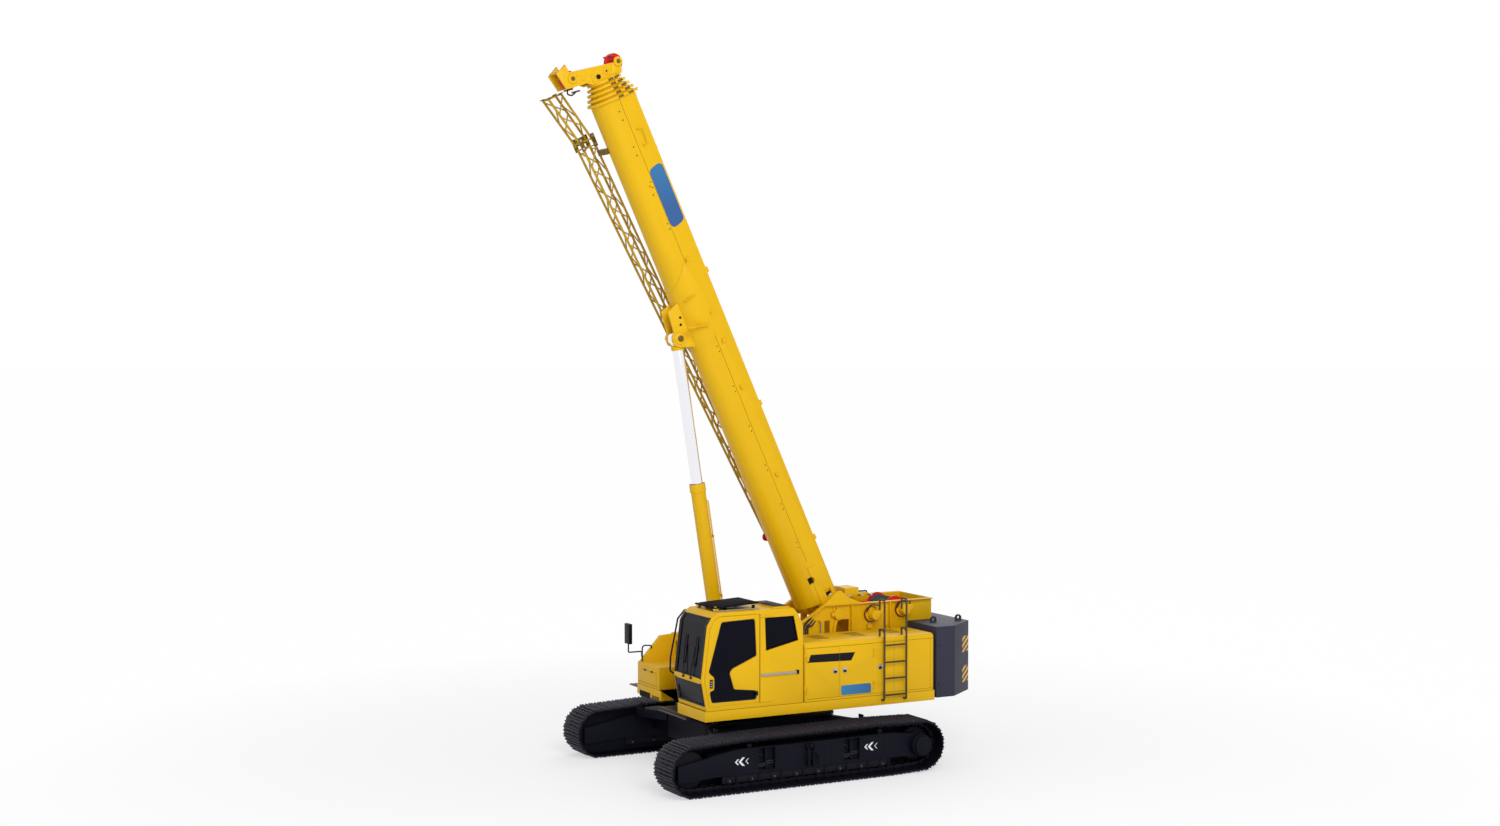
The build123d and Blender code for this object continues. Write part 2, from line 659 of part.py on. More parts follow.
def handrails():
    """Grab rail beside the windscreen, bent back into the cab's inner wall at both ends."""
    y = cab_inner_y - 70
    return pipe(((1560, cab_inner_y, 1640), (1560, y, 1640), (1700, y, 1720), (1690, y, 1950), (1560, y, 2560),
                 (1440, y, 2690), (1150, y, 2700), (1150, cab_inner_y, 2700)), 14, 40)


def mirror():
    y = -side_y - 60
    shape = pipe(((1270, -side_y, 1640), (1270, y, 1640), (1270, y, 1740), (1520, y, 1740), (1520, y, 1900)), 12, 25)
    return shape + block(1490, 1550, y - 90, y + 90, 1890, 2230)


def ladder():
    """Two stiles hooked over the hood, with rungs between them, clear of the doors."""
    y = side_y + 75
    top, hook, shelf = 2780, 2290, side_y - 75
    shape = None
    for x in ladder_x:
        stile = pipe(((x, side_y, 1130), (x, y, 1130), (x, y, top), (x, shelf, top), (x, shelf, 2600)), 17, 36)
        stile += pipe(((x, y, hook - 50), (x, y - 40, hook), (x, shelf, hook), (x, shelf, hood_top)), 17, 20)
        shape = stile if shape is None else shape + stile
    for z in (1213, 1490, 1757, 2037):
        shape += bar((ladder_x[0], y, z), (ladder_x[1], y, z), 14)
    return shape


# ---- winches --------------------------------------------------------------------------------------
# name, x and z of its axis, flange radius
WINCHES = (("winch_main", -2045.0, 2410.0, 200.0), ("winch_auxiliary", -2660.0, 2460.0, 200.0))
winch_shaft_radius, drum_half = 55.0, 300.0


def winch_drum(x, z, flange):
    half = drum_half
    shape = rod_y(x, z, -half, half, flange * 0.62)
    shape += rod_y(x, z, -turret_y, turret_y, winch_shaft_radius)
    for y in (-half, half - 24):
        shape += rod_y(x, z, y, y + 24, flange)
    return shape


def winch_drives():
    solids = []
    for _, x, z, _ in WINCHES:
        solids.append(rod_y(x, z, turret_y, turret_y + 40, 120) + rod_y(x, z, turret_y + 30, turret_y + 190, 80))
    return Compound(solids)


# ---- boom -----------------------------------------------------------------------------------------
def boom_section_face(shrink):
    """Cross-section in Y and Z: flat top and sides over a half-round underside."""
    w = boom_half_width - shrink
    top = boom_top_v - shrink
    arc = boom_arc_v
    edges = (Line((0, -w, arc), (0, -w, top)) + Line((0, -w, top), (0, w, top)) + Line((0, w, top), (0, w, arc))
             + ThreePointArc((0, w, arc), (0, 0, arc - w), (0, -w, arc)))
    return make_face(edges)


def boom_ring(outer_shrink, inner_shrink, u, length):
    outer = extrude(boom_section_face(outer_shrink), amount=length, dir=(1, 0, 0))
    inner = extrude(boom_section_face(inner_shrink), amount=length + 2, dir=(1, 0, 0))
    return Pos(u, 0, 0) * (outer - Pos(-1, 0, 0) * inner)


def boom_section(index):
    """One telescopic section: a thin-walled tube, guided by its head collar and by a ring at its foot."""
    shrink = index * section_step
    head = base_length + index * collar_pitch
    foot = 250.0 + index * section_foot_step
    last = index == section_count - 1
    bore = shrink + boom_wall if last else shrink + section_step - seat_gap
    shape = boom_ring(shrink, shrink + boom_wall, foot, head - foot)
    shape += boom_ring(shrink - collar_proud, bore, head - collar_thickness, collar_thickness)
    if index > 0:
        shape += boom_ring(shrink - section_step + boom_wall + seat_gap, shrink + boom_wall, foot, foot_ring)
    else:
        w = boom_half_width
        cheek_line = ((-110, -90), (-60, -120), (900, -120), (900, 180), (300, 180), (-60, 110), (-110, 80))
        for side in (1, -1):
            cheek = prism_y(cheek_line, side * (w - boom_wall), side * (w + foot_cheek))
            shape += cheek - rod_y(0, 0, side * 200, side * 400, pivot_radius + seat_gap)
            shape -= block(295, 405, side * (w - 20), side * (w + 30), 20, 130)
            arch = prism_y(((620, -190), (740, -190), (740, -110), (700, -80), (660, -80), (620, -110)),
                           side * (w - 20), side * (w + 30))
            shape -= arch
    return boom_place(shape)


def boom_head():
    """Head box on the last section: two side plates with the sheaves' pins, and a front channel."""
    u = base_length + (section_count - 1) * collar_pitch
    shape = None
    outline = ((u, -355), (u + 60, -430), (u + 100, -800), (u + 380, -860), (u + 460, -660), (u + 330, -650),
               (u + 200, 110), (u + 150, 250), (u, 200))
    for side in (1, -1):
        plate = prism_y(outline, side * head_half_width, side * (head_half_width + 30))
        shape = plate if shape is None else shape + plate
    shape += block(u, u + 24, -head_half_width, head_half_width, -350, 180)
    shape += block(u + 380, u + 410, -head_half_width, head_half_width, -830, -690)
    for du, v in HEAD_SHEAVES.values():
        shape += rod_y(u + du, v, -head_half_width, head_half_width, sheave_pin)
    return boom_place(shape)


def head_sheave(name):
    u = base_length + (section_count - 1) * collar_pitch
    du, v = HEAD_SHEAVES[name]
    wheel = rod_y(u + du, v, -60, 60, sheave_radius) + rod_y(u + du, v, -head_half_width + 1, head_half_width - 1, 62)
    return boom_place(wheel - rod_y(u + du, v, -200, 200, sheave_pin + seat_gap))


def luff_bracket():
    """Saddle under the base section with two cheeks for the rod's eye."""
    reach = 1400
    wrap = extrude(boom_section_face(-14), amount=reach, dir=(1, 0, 0)) - Pos(-1, 0, 0) * extrude(
        boom_section_face(0), amount=reach + 2, dir=(1, 0, 0))
    saddle_line = ((-270, -130), (80, 30), (580, 30), (1130, -100), (520, -600), (-270, -600))
    shape = Pos(luff_u, 0, 0) * ((Pos(-reach / 5, 0, 0) * wrap) & prism_y(saddle_line, -600, 600))
    for side in (1, -1):
        inner = side * (rod_radius + 10)
        cheek = prism_y(((luff_u - 260, -330), (luff_u + 560, -330), (luff_u + 480, luff_v - 20), (luff_u + 130, luff_v - 60),
                         (luff_u + 60, luff_v - 130), (luff_u - 60, luff_v - 130), (luff_u - 130, luff_v - 60)),
                        inner, inner + side * 35)
        shape += cheek - rod_y(luff_u, luff_v, side * 50, side * 200, 60)
    shape -= Pos(luff_u - 1500, 0, 0) * extrude(boom_section_face(0), amount=3000, dir=(1, 0, 0))
    pin = rod_y(luff_u, luff_v, -rod_radius - 60, rod_radius + 60, 60 - seat_gap)
    return boom_place(Compound([shape, pin]))


def cylinder_frame():
    """Plane at the rod's eye, with its Z axis towards the cylinder's foot."""
    lx, lz = boom_point(luff_u, luff_v)
    return Plane(origin=(lx, 0, lz), x_dir=(0, 1, 0), z_dir=(cylinder_foot_x - lx, 0, cylinder_foot_z - lz))


def cylinder_length():
    lx, lz = boom_point(luff_u, luff_v)
    return math.dist((lx, lz), (cylinder_foot_x, cylinder_foot_z))


def luff_rod():
    eye = Rot(0, 90, 0) * Cylinder(eye_radius, eye_width)
    shape = eye + Pos(0, 0, rod_length / 2) * Cylinder(rod_radius, rod_length)
    shape -= Rot(0, 90, 0) * Cylinder(60, 4 * rod_radius)
    return cylinder_frame() * shape


def luff_barrel():
    length = cylinder_length()
    top = length - barrel_length
    tube = Pos(0, 0, (top + length - 60) / 2) * Cylinder(barrel_radius, barrel_length - 60)
    tube += Pos(0, 0, top + 60) * Cylinder(collar_radius, 120)
    tube -= Pos(0, 0, (top + length - 160) / 2 + 60) * Cylinder(barrel_bore, barrel_length - 160)
    tube -= Pos(0, 0, top + 60) * Cylinder(rod_radius + seat_gap, 400)
    tube += Pos(0, 0, length) * Rot(0, 90, 0) * Cylinder(eye_radius, eye_width)
    return cylinder_frame() * tube


# ---- jib ------------------------------------------------------------------------------------------
# stations along the jib: distance up the boom, height of its middle over the boom's axis, half width
JIB_STATIONS = ((9680.0, -775.0, 118.0), (8750.0, -545.0, 112.0), (1400.0, -110.0, 58.0))
jib_y, jib_chord, jib_brace = -545.0, 24.0, 14.0


def jib_corner(station, i):
    u, v, half = station
    return (u, jib_y + (half if i in (0, 3) else -half), v + (half if i < 2 else -half))


def between(a, b, t):
    return tuple(p + (q - p) * t for p, q in zip(a, b))


def lattice(first, second, panels, rings):
    """Four chords with zigzag bracing on all four faces, the faces half a panel out of step."""
    bars = [strut(jib_corner(first, i), jib_corner(second, i), jib_chord) for i in range(4)]
    for i in range(4):
        shift = 0.1 if i % 2 else 0.6
        for k in range(panels - 1):
            a = between(first, second, (k + shift + 0.08) / panels)
            b = between(first, second, (k + shift + 0.92) / panels)
            p, q = (i, (i + 1) % 4) if k % 2 else ((i + 1) % 4, i)
            bars.append(strut(jib_corner(a, p), jib_corner(b, q), jib_brace))
        for t in rings:
            station = between(first, second, t - (0.008 if i % 2 else 0.0))
            bars.append(strut(jib_corner(station, i), jib_corner(station, (i + 1) % 4), jib_brace))
    return bars[0].fuse(*bars[1:])


def jib():
    """Long part of the jib, from its fold down to the tip."""
    fold, tip = JIB_STATIONS[1:]
    shape = lattice(between(fold, tip, 0.002), tip, 22, (0.012, 0.99))
    u, v, half = tip
    wheel_u, wheel_v = u + 60, v - half - 40
    cheek = ((u - 20, v + half), (u + 90, v + half), (u + 130, v - half), (u + 100, wheel_v - 30), (u + 20, wheel_v - 30),
             (u - 20, v - half))
    for side in (1, -1):
        shape += prism_y(cheek, jib_y + side * (half - 8), jib_y + side * (half + 6))
    shape += rod_y(wheel_u, wheel_v, jib_y - half, jib_y + half, 22) + rod_y(wheel_u, wheel_v, jib_y - 18, jib_y + 18, 70)
    return boom_place(shape)


def jib_heel():
    """Short part above the fold, with the fold's plates each side of the long part's chords."""
    heel, fold = JIB_STATIONS[:2]
    shape = lattice(heel, between(fold, heel, 0.01), 3, (0.03, 0.94))
    u, v, half = fold
    for side in (1, -1):
        for edge in (1, -1):
            y = jib_y + side * (half + jib_chord - 4)
            plate = block(u - 70, u + 150, y, y + side * 18, v + edge * half - 34, v + edge * half + 34)
            slot = strut(between(jib_corner(fold, 0), jib_corner(JIB_STATIONS[2], 0), -0.02), jib_corner(JIB_STATIONS[2], 0),
                         jib_chord + 3 * seat_gap)
            slot = Pos(0, side * half - half, edge * half - half) * slot
            shape += plate - slot
    return boom_place(shape)


def jib_brackets():
    """Arms from the base section to the stowed jib's inner chords."""
    solids = []
    for u in (8560, 3300):
        t = (JIB_STATIONS[1][0] - u) / (JIB_STATIONS[1][0] - JIB_STATIONS[2][0])
        _, y, v = jib_corner(between(*JIB_STATIONS[1:], t), 0)
        arm = block(u - 45, u + 45, y + jib_chord + 2 * seat_gap, -60, v - 40, v + 40)
        solids.append(arm - Pos(u - 100, 0, 0) * extrude(boom_section_face(0), amount=200, dir=(1, 0, 0)))
    return boom_place(Compound(solids))


# ---- build ----------------------------------------------------------------------------------------
def build():
    for name, side in WHEEL_SIDES:
        save(f"track_{name}", track(side))
        save(f"track_frame_{name}", track_frame(side))
    save("idlers", idlers())
    save("sprockets", sprockets())
    save("bottom_rollers", bottom_rollers())
    save("carrier_rollers", carrier_rollers())
    save("carbody", carbody())
    save("tie_down_lugs", tie_down_lugs())
    save("slew_ring", slew_ring())
    save("deck", deck())
    save("turret_sides", Compound([turret_side(1), turret_side(-1)]))
    save("turret_frame", turret_frame())
    save("power_unit", power_unit())
    save("hood_left", hood_left())
    front = service_door(door_front_x - seat_gap, door_split_x + door_gap / 2, door_front_x, -1)
    rear = service_door(door_split_x - door_gap / 2, door_rear_x + seat_gap, door_rear_x, 1)
    save("service_door_front", front + door_latch(door_split_x + 90))
    save("service_door_rear", rear + door_latch(door_split_x - 90))
    save("hood_right", hood_right())
    save("step_plate", step_plate())
    save("counterweight", counterweight())
    save("cab_shell", cab_shell())
    save("cab_door", cab_door())
    save("cab_glass", cab_glass())
    save("cab_seat", cab_seat())
    save("cab_console", cab_console())
    save("cab_roof_guard", cab_roof_guard())
    save("handrails", handrails())
    save("mirror", mirror())
    save("ladder", ladder())
    for name, x, z, flange in WINCHES:
        save(f"{name}_drum", winch_drum(x, z, flange))
    save("winch_drives", winch_drives())
    for index in range(section_count):
        save(f"boom_section_{index + 1}", boom_section(index))
    save("boom_head", boom_head())
    for name in HEAD_SHEAVES:
        save(name, head_sheave(name))
    save("luff_bracket", luff_bracket())
    save("luff_rod", luff_rod())
    save("luff_barrel", luff_barrel())
    save("jib", jib())
    save("jib_heel", jib_heel())
    save("jib_brackets", jib_brackets())


build()
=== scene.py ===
"""Telescopic crawler crane: its finishes, its finer pieces and a plain studio, in metres.

+X runs forward along the boom, +Y to the machine's left, where the cab is, and +Z up.
"""

import json
import logging
import math
from dataclasses import dataclass, field
from enum import Enum
from typing import Any, Callable, Sequence

import bmesh
import bpy
from mathutils import Matrix, Vector

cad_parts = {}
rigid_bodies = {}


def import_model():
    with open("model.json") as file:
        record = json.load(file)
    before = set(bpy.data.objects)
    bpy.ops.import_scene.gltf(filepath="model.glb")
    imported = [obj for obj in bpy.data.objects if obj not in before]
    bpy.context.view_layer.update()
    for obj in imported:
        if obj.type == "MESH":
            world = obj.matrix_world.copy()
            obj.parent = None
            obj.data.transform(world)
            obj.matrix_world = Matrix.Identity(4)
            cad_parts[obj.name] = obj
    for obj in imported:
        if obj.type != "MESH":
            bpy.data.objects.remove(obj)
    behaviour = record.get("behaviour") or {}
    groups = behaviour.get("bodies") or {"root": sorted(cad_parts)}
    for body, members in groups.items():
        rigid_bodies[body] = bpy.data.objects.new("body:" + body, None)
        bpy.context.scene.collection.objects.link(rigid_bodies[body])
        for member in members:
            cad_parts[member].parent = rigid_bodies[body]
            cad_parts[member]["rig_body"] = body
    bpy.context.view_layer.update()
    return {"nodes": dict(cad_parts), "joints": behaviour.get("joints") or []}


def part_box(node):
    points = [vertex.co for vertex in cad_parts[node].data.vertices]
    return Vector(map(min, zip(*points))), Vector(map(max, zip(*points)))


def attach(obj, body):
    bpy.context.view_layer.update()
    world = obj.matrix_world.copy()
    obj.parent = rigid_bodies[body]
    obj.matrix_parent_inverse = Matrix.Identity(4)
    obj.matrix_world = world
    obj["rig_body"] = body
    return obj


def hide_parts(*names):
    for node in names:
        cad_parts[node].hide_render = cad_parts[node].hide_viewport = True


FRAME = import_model()
LOG = logging.getLogger("crane")

Point = Sequence[float]
Outline = Sequence[tuple[float, float]]


# ---- colours and finishes --------------------------------------------------------------------------
class Tone(Enum):
    """Colours as they are written on screen, in bytes."""

    BODY = (228, 178, 4)
    BODY_DEEP = (208, 156, 4)
    BOOM = (228, 179, 6)
    NAVY = (11, 11, 24)
    WEIGHT = (50, 50, 65)
    SHOE = (48, 48, 60)
    WORN_STEEL = (104, 104, 112)
    RED = (214, 18, 38)
    ROD = (226, 226, 232)
    LADDER = (78, 64, 34)
    RAIL = (172, 163, 146)
    GLASS = (6, 6, 20)
    BLACK = (14, 13, 20)
    SILVER = (186, 186, 190)
    STEP = (104, 96, 90)
    WHITE = (228, 228, 232)
    BLUE = (10, 78, 138)
    SHEET_LIGHT = (16, 120, 172)
    HAZARD = (232, 168, 36)
    ROPE = (66, 64, 64)
    SHADOW = (26, 21, 8)
    # Painted shade in the gaps of panel seams and the hollows of weld dimples.
    SEAM_AND_DIMPLE_SHADE = (112, 84, 8)
    BRACKET = (108, 84, 20)
    # The jib's yellow darkened into painted shade.
    LATTICE_SHADED = (186, 148, 18)
    PAD = (226, 196, 40)
    TAIL = (150, 10, 18)
    # Dark red for the toothed rings, also painted shade in the sheaves' spoke holes.
    DRUM_RING_AND_HOLE_SHADE = (120, 16, 30)
    # Painted shade in the gaps between the counterweight's slabs.
    WEIGHT_JOINT_SHADE = (24, 24, 32)
    PALE = (250, 250, 251)

    def linear(self) -> tuple[float, float, float, float]:
        """The colour as linear light, for a shader's socket."""
        channels = [value / 255 for value in self.value]
        scaled = [c / 12.92 if c <= 0.04045 else ((c + 0.055) / 1.055) ** 2.4 for c in channels]
        return (scaled[0], scaled[1], scaled[2], 1.0)


class Socket:
    """A value in a shader that Python's arithmetic can work on."""

    def __init__(self, shader: "Shader", output: bpy.types.NodeSocket) -> None:
        """Wraps one output of a node."""
        self.shader = shader
        self.output = output

    def _maths(self, operation: str, first: Any, second: Any) -> "Socket":
        """Adds one Math node."""
        return self.shader.node("ShaderNodeMath", {"operation": operation}, {0: first, 1: second})

    def __add__(self, other: Any) -> "Socket":
        """Sum."""
        return self._maths("ADD", self, other)

    def __radd__(self, other: Any) -> "Socket":
        """Sum with a plain number first."""
        return self._maths("ADD", other, self)

    def __sub__(self, other: Any) -> "Socket":
        """Difference."""
        return self._maths("SUBTRACT", self, other)

    def __rsub__(self, other: Any) -> "Socket":
        """Difference from a plain number."""
        return self._maths("SUBTRACT", other, self)

    def __mul__(self, other: Any) -> "Socket":
        """Product."""
        return self._maths("MULTIPLY", self, other)

    def __rmul__(self, other: Any) -> "Socket":
        """Product with a plain number first."""
        return self._maths("MULTIPLY", other, self)

    def __gt__(self, other: Any) -> "Socket":
        """One where the value is larger, else nought."""
        return self._maths("GREATER_THAN", self, other)

    def fraction(self) -> "Socket":
        """The part after the whole number."""
        return self._maths("FRACT", self, 0.0)

    def clamp(self) -> "Socket":
        """The value held between nought and one."""
        return self.shader.node("ShaderNodeClamp", {}, {0: self})


class Shader:
    """One material's node tree, ending in a Principled surface."""

    def __init__(self, name: str) -> None:
        """Starts a material with its surface node.

        Args:
            name: the material's name.
        """
        self.material = bpy.data.materials.new(name)
        self.material.use_nodes = True
        self.tree = self.material.node_tree
        self.surface = self.tree.nodes["Principled BSDF"]

    def node(self, kind: str, settings: dict[str, Any], inputs: dict[Any, Any], output: Any = 0) -> Socket:
        """Adds a node.

        Args:
            kind: the node's type.
            settings: its properties, or a ramp's stops under "stops".
            inputs: values or sockets by the input's name or number.
            output: the name or number of the output to hand back.

        Returns:
            The chosen output.
        """
        made = self.tree.nodes.new(kind)
        for key, value in settings.items():
            if key == "stops":
                self._set_stops(made.color_ramp, value)
            else:
                setattr(made, key, value)
        for key, value in inputs.items():
            self.feed(made.inputs[key], value)
        return Socket(self, made.outputs[output])

    def _set_stops(self, ramp: Any, stops: Sequence[tuple[float, float]]) -> None:
        """Gives a ramp its stops, each a place and a grey level."""
        while len(ramp.elements) < len(stops):
            ramp.elements.new(1.0)
        for element, (place, level) in zip(ramp.elements, stops):
            element.position = place
            element.color = (level, level, level, 1.0)

    def feed(self, target: bpy.types.NodeSocket, value: Any) -> None:
        """Links or sets one input."""
        if isinstance(value, Socket):
            self.tree.links.new(value.output, target)
        else:
            target.default_value = value

    def put(self, name: str, value: Any) -> None:
        """Links or sets one input of the surface."""
        self.feed(self.surface.inputs[name], value)

    def place(self) -> Socket:
        """Coordinates in the piece's own space, in metres."""
        return self.node("ShaderNodeTexCoord", {}, {}, "Object")

    def noise(self, scale: float, detail: float = 3.0, stretch: Point = (1.0, 1.0, 1.0)) -> Socket:
        """Cloudy noise between nought and one.

        Args:
            scale: how many clouds lie along a metre.
            detail: how many finer layers it has.
            stretch: how much each axis is packed together.

        Returns:
            The noise's level.
        """
        where = self.node("ShaderNodeVectorMath", {"operation": "MULTIPLY"}, {0: self.place(), 1: stretch})
        return self.node("ShaderNodeTexNoise", {}, {"Vector": where, "Scale": scale, "Detail": detail})

    def blend(self, amount: Any, first: Any, second: Any) -> Socket:
        """Mixes two colours by an amount between nought and one."""
        return self.node("ShaderNodeMix", {"data_type": "RGBA"}, {0: amount, 6: first, 7: second}, 2)

    def bump(self, height: Socket, depth: float, strength: float = 1.0) -> Socket:
        """A normal from a height, whose full step is depth metres."""
        return self.node("ShaderNodeBump", {}, {"Strength": strength, "Distance": depth, "Height": height})


@dataclass(frozen=True)
class Finish:
    """A surface finish: what it is painted or made of."""

    name: str
    tone: Tone
    roughness: float = 0.4

    def material(self) -> bpy.types.Material:
        """The finish as a material, made once."""
        found = bpy.data.materials.get(self.name)
        if found is not None:
            return found
        shader = Shader(self.name)
        shader.put("Base Color", self.tone.linear())
        shader.put("Roughness", self.roughness)
        self.build(shader)
        return shader.material

    def build(self, shader: Shader) -> None:
        """Adds what sets this kind of finish apart."""


@dataclass(frozen=True)
class Paint(Finish):
    """Sprayed paint: faint clouds in its colour, fine orange peel, and dust on faces that look up."""

    coat: float = 0.08
    cloud: float = 0.035
    shine: float = 0.18
    peel: float = 0.00004
    dust: float = 0.0

    def build(self, shader: Shader) -> None:
        """Clouds, a slow change of gloss, peel, and dust on faces that look up."""
        base = self.tone.linear()
        shade = tuple(c * (1 - 2 * self.cloud) for c in base[:3]) + (1.0,)
        clouds = shader.noise(0.9, 4.0)
        colour = shader.blend(clouds, shade, tuple(min(1.0, c * (1 + self.cloud)) for c in base[:3]) + (1.0,))
        if self.dust:
            normal = shader.node("ShaderNodeNewGeometry", {}, {}, "Normal")
            up = shader.node("ShaderNodeSeparateXYZ", {}, {0: normal}, "Z")
            layer = (up * shader.noise(14.0, 6.0) * self.dust).clamp()
            colour = shader.blend(layer, colour, Tone.RAIL.linear())
        shader.put("Base Color", colour)
        shader.put("Roughness", shader.noise(5.0, 5.0) * 0.14 + (self.roughness - 0.07))
        shader.put("Coat Weight", self.coat)
        shader.put("Specular IOR Level", self.shine)
        shader.put("Coat Roughness", 0.12)
        shader.put("Normal", shader.bump(shader.noise(240.0, 2.0), self.peel))


@dataclass(frozen=True)
class Steel(Finish):
    """Bare or blackened metal with streaks and small pits."""

    metallic: float = 1.0
    streak: float = 0.25
    pits: float = 0.0003
    rub: float = 0.0

    def build(self, shader: Shader) -> None:
        """Streaked gloss, pits, and bright rubbed patches."""
        base = self.tone.linear()
        dark = tuple(c * (1 - self.streak) for c in base[:3]) + (1.0,)
        streaks = shader.noise(18.0, 5.0, (1.0, 6.0, 1.0))
        colour = shader.blend(streaks, dark, base)
        if self.rub:
            patches = ((shader.noise(30.0, 6.0) - 0.52) * 6.0).clamp() * self.rub
            colour = shader.blend(patches, colour, Tone.WORN_STEEL.linear())
        shader.put("Base Color", colour)
        shader.put("Metallic", self.metallic)
        shader.put("Specular IOR Level", 0.25)
        shader.put("Roughness", streaks * 0.22 + (self.roughness - 0.1))
        shader.put("Normal", shader.bump(shader.noise(90.0, 6.0), self.pits))


@dataclass(frozen=True)
class Tint(Finish):
    """Dark tinted glass, faintly see-through."""

    alpha: float = 0.93

    def build(self, shader: Shader) -> None:
        """Gloss, and a smear of dust that dulls it."""
        smear = shader.noise(3.0, 6.0)
        shader.put("Roughness", smear * 0.08 + self.roughness)
        shader.put("Alpha", self.alpha)
        shader.put("Specular IOR Level", 0.09)
        shader.put("Normal", shader.bump(shader.noise(1.2, 1.0), 0.0004))


@dataclass(frozen=True)
class Moulded(Finish):
    """Moulded plastic or rubber with a fine leathery grain."""

    grain: float = 0.00025

    def build(self, shader: Shader) -> None:
        """Grain, and gloss that follows it."""
        cells = shader.node("ShaderNodeTexVoronoi", {}, {"Vector": shader.place(), "Scale": 260.0}, "Distance")
        shader.put("Roughness", cells * 0.2 + self.roughness)
        shader.put("Normal", shader.bump(cells, self.grain))


@dataclass(frozen=True)
class Striped(Finish):
    """Slanting black and amber warning stripes."""

    pitch: float = 0.105
    lean: tuple[float, float, float] = (0.5, 0.03, 1.0)

    def build(self, shader: Shader) -> None:
        """Stripes across the slant, slightly clouded."""
        across = shader.node("ShaderNodeVectorMath", {"operation": "DOT_PRODUCT"},
                             {0: shader.place(), 1: self.lean}, "Value")
        stripe = (across * (1 / self.pitch)).fraction() > 0.5
        amber = shader.blend(shader.noise(8.0) * 0.3, self.tone.linear(), Tone.BODY_DEEP.linear())
        shader.put("Base Color", shader.blend(stripe, Tone.BLACK.linear(), amber))


@dataclass(frozen=True)
class Plate(Finish):
    """A flat printed sheet whose colour deepens along one way."""

    second: Tone = Tone.BLUE
    along: tuple[float, float, float] = (0.0, 0.0, 1.0)
    start: float = 0.0
    length: float = 1.0

    def build(self, shader: Shader) -> None:
        """A soft run from one colour to the other."""
        reach = shader.node("ShaderNodeVectorMath", {"operation": "DOT_PRODUCT"},
                            {0: shader.place(), 1: self.along}, "Value")
        amount = ((reach - self.start) * (1 / self.length)).clamp()
        shader.put("Base Color", shader.blend(amount, self.tone.linear(), self.second.linear()))
        shader.put("Roughness", shader.noise(20.0) * 0.1 + self.roughness)
        shader.put("Coat Weight", 0.3)


BODY = Paint("body_paint", Tone.BODY, 0.45)
BOOM = Paint("boom_paint", Tone.BOOM, 0.45, cloud=0.03)
NAVY = Paint("frame_paint", Tone.NAVY, 0.55, coat=0.0, dust=0.02, shine=0.10)
WEIGHT = Paint("weight_paint", Tone.WEIGHT, 0.55, coat=0.0, peel=0.0002, shine=0.2)
RED = Paint("drum_paint", Tone.RED, 0.38)
LADDER = Paint("ladder_paint", Tone.LADDER, 0.5, coat=0.1)
STEP = Paint("step_paint", Tone.STEP, 0.6, coat=0.0, dust=0.2)
BLACK = Paint("black_paint", Tone.BLACK, 0.45, coat=0.0, shine=0.15)
MATT = Paint("matt_black", Tone.BLACK, 0.8, coat=0.0, shine=0.04)
WHITE = Paint("white_paint", Tone.WHITE, 0.5, coat=0.0)
# Painted shadow: a near-black brown laid in holes, slots, vents and recesses where shade falls.
SHADOW = Paint("painted_cavity_shadow", Tone.SHADOW, 0.8, coat=0.0)
SHOE = Steel("shoe_steel", Tone.SHOE, 0.6, metallic=0.25, rub=0.25)
CHAIN = Steel("chain_steel", Tone.NAVY, 0.55, metallic=0.4)
ROD = Steel("rod_chrome", Tone.ROD, 0.24, metallic=0.55, streak=0.02, pits=0.00001)
SILVER = Steel("latch_steel", Tone.SILVER, 0.35, streak=0.08, pits=0.00005)
SILVER_DULL = Steel("dull_steel", Tone.WORN_STEEL, 0.5, metallic=0.5, streak=0.2)
RAIL = Steel("rail_metal", Tone.RAIL, 0.42, metallic=0.3, streak=0.08, pits=0.00008)
ROPE = Steel("rope_steel", Tone.ROPE, 0.5, metallic=0.7)
GLASS = Tint("tinted_glass", Tone.GLASS, 0.10)
RUBBER = Moulded("black_rubber", Tone.BLACK, 0.55)
HAZARD = Striped("warning_stripes", Tone.HAZARD, 0.45)
# Painted shade: a dark yellow-brown for the gaps of panel seams and the hollows of weld dimples.
SEAM_AND_DIMPLE_SHADE = Paint("painted_seam_and_dimple_shade", Tone.SEAM_AND_DIMPLE_SHADE, 0.7, coat=0.0)
BODY_DARK = Paint("bracket_paint", Tone.BRACKET, 0.5, coat=0.1)
# Painted shade: the jib's yellow paint darkened to stand for the shade the jib lies in.
LATTICE_SHADED = Paint("lattice_paint_darkened_for_shade", Tone.LATTICE_SHADED, 0.5, coat=0.05)
PAD = Moulded("wear_pad", Tone.PAD, 0.45)
TAIL_RED = Moulded("tail_lens", Tone.TAIL, 0.15)
# Dark red for the winches' toothed rings, also used as painted shade in the sheaves' spoke holes.
DRUM_DARK_AND_HOLE_SHADE = Paint("drum_ring_paint_and_hole_shade", Tone.DRUM_RING_AND_HOLE_SHADE, 0.45, coat=0.1)
# Painted shade: near-black lines for the gaps between the counterweight's slabs.
WEIGHT_JOINT_SHADE = Paint("painted_weight_joint_shade", Tone.WEIGHT_JOINT_SHADE, 0.8, coat=0.0)
TRIM = Moulded("roof_trim", Tone.BLACK, 0.6)
BOOM_SHEET = Plate("boom_sheet", Tone.BLUE, 0.4, second=Tone.SHEET_LIGHT, along=(0.0, 0.0, 1.0), start=9.2, length=1.2)
SHEET = Plate("blank_sheet", Tone.BLUE, 0.35, second=Tone.SHEET_LIGHT, along=(1.0, 0.0, 0.0), start=-1.6, length=0.72)


# ---- shapes ----------------------------------------------------------------------------------------
def unit(vector: Point) -> Vector:
    """The vector at length one."""
    return Vector(vector).normalized()


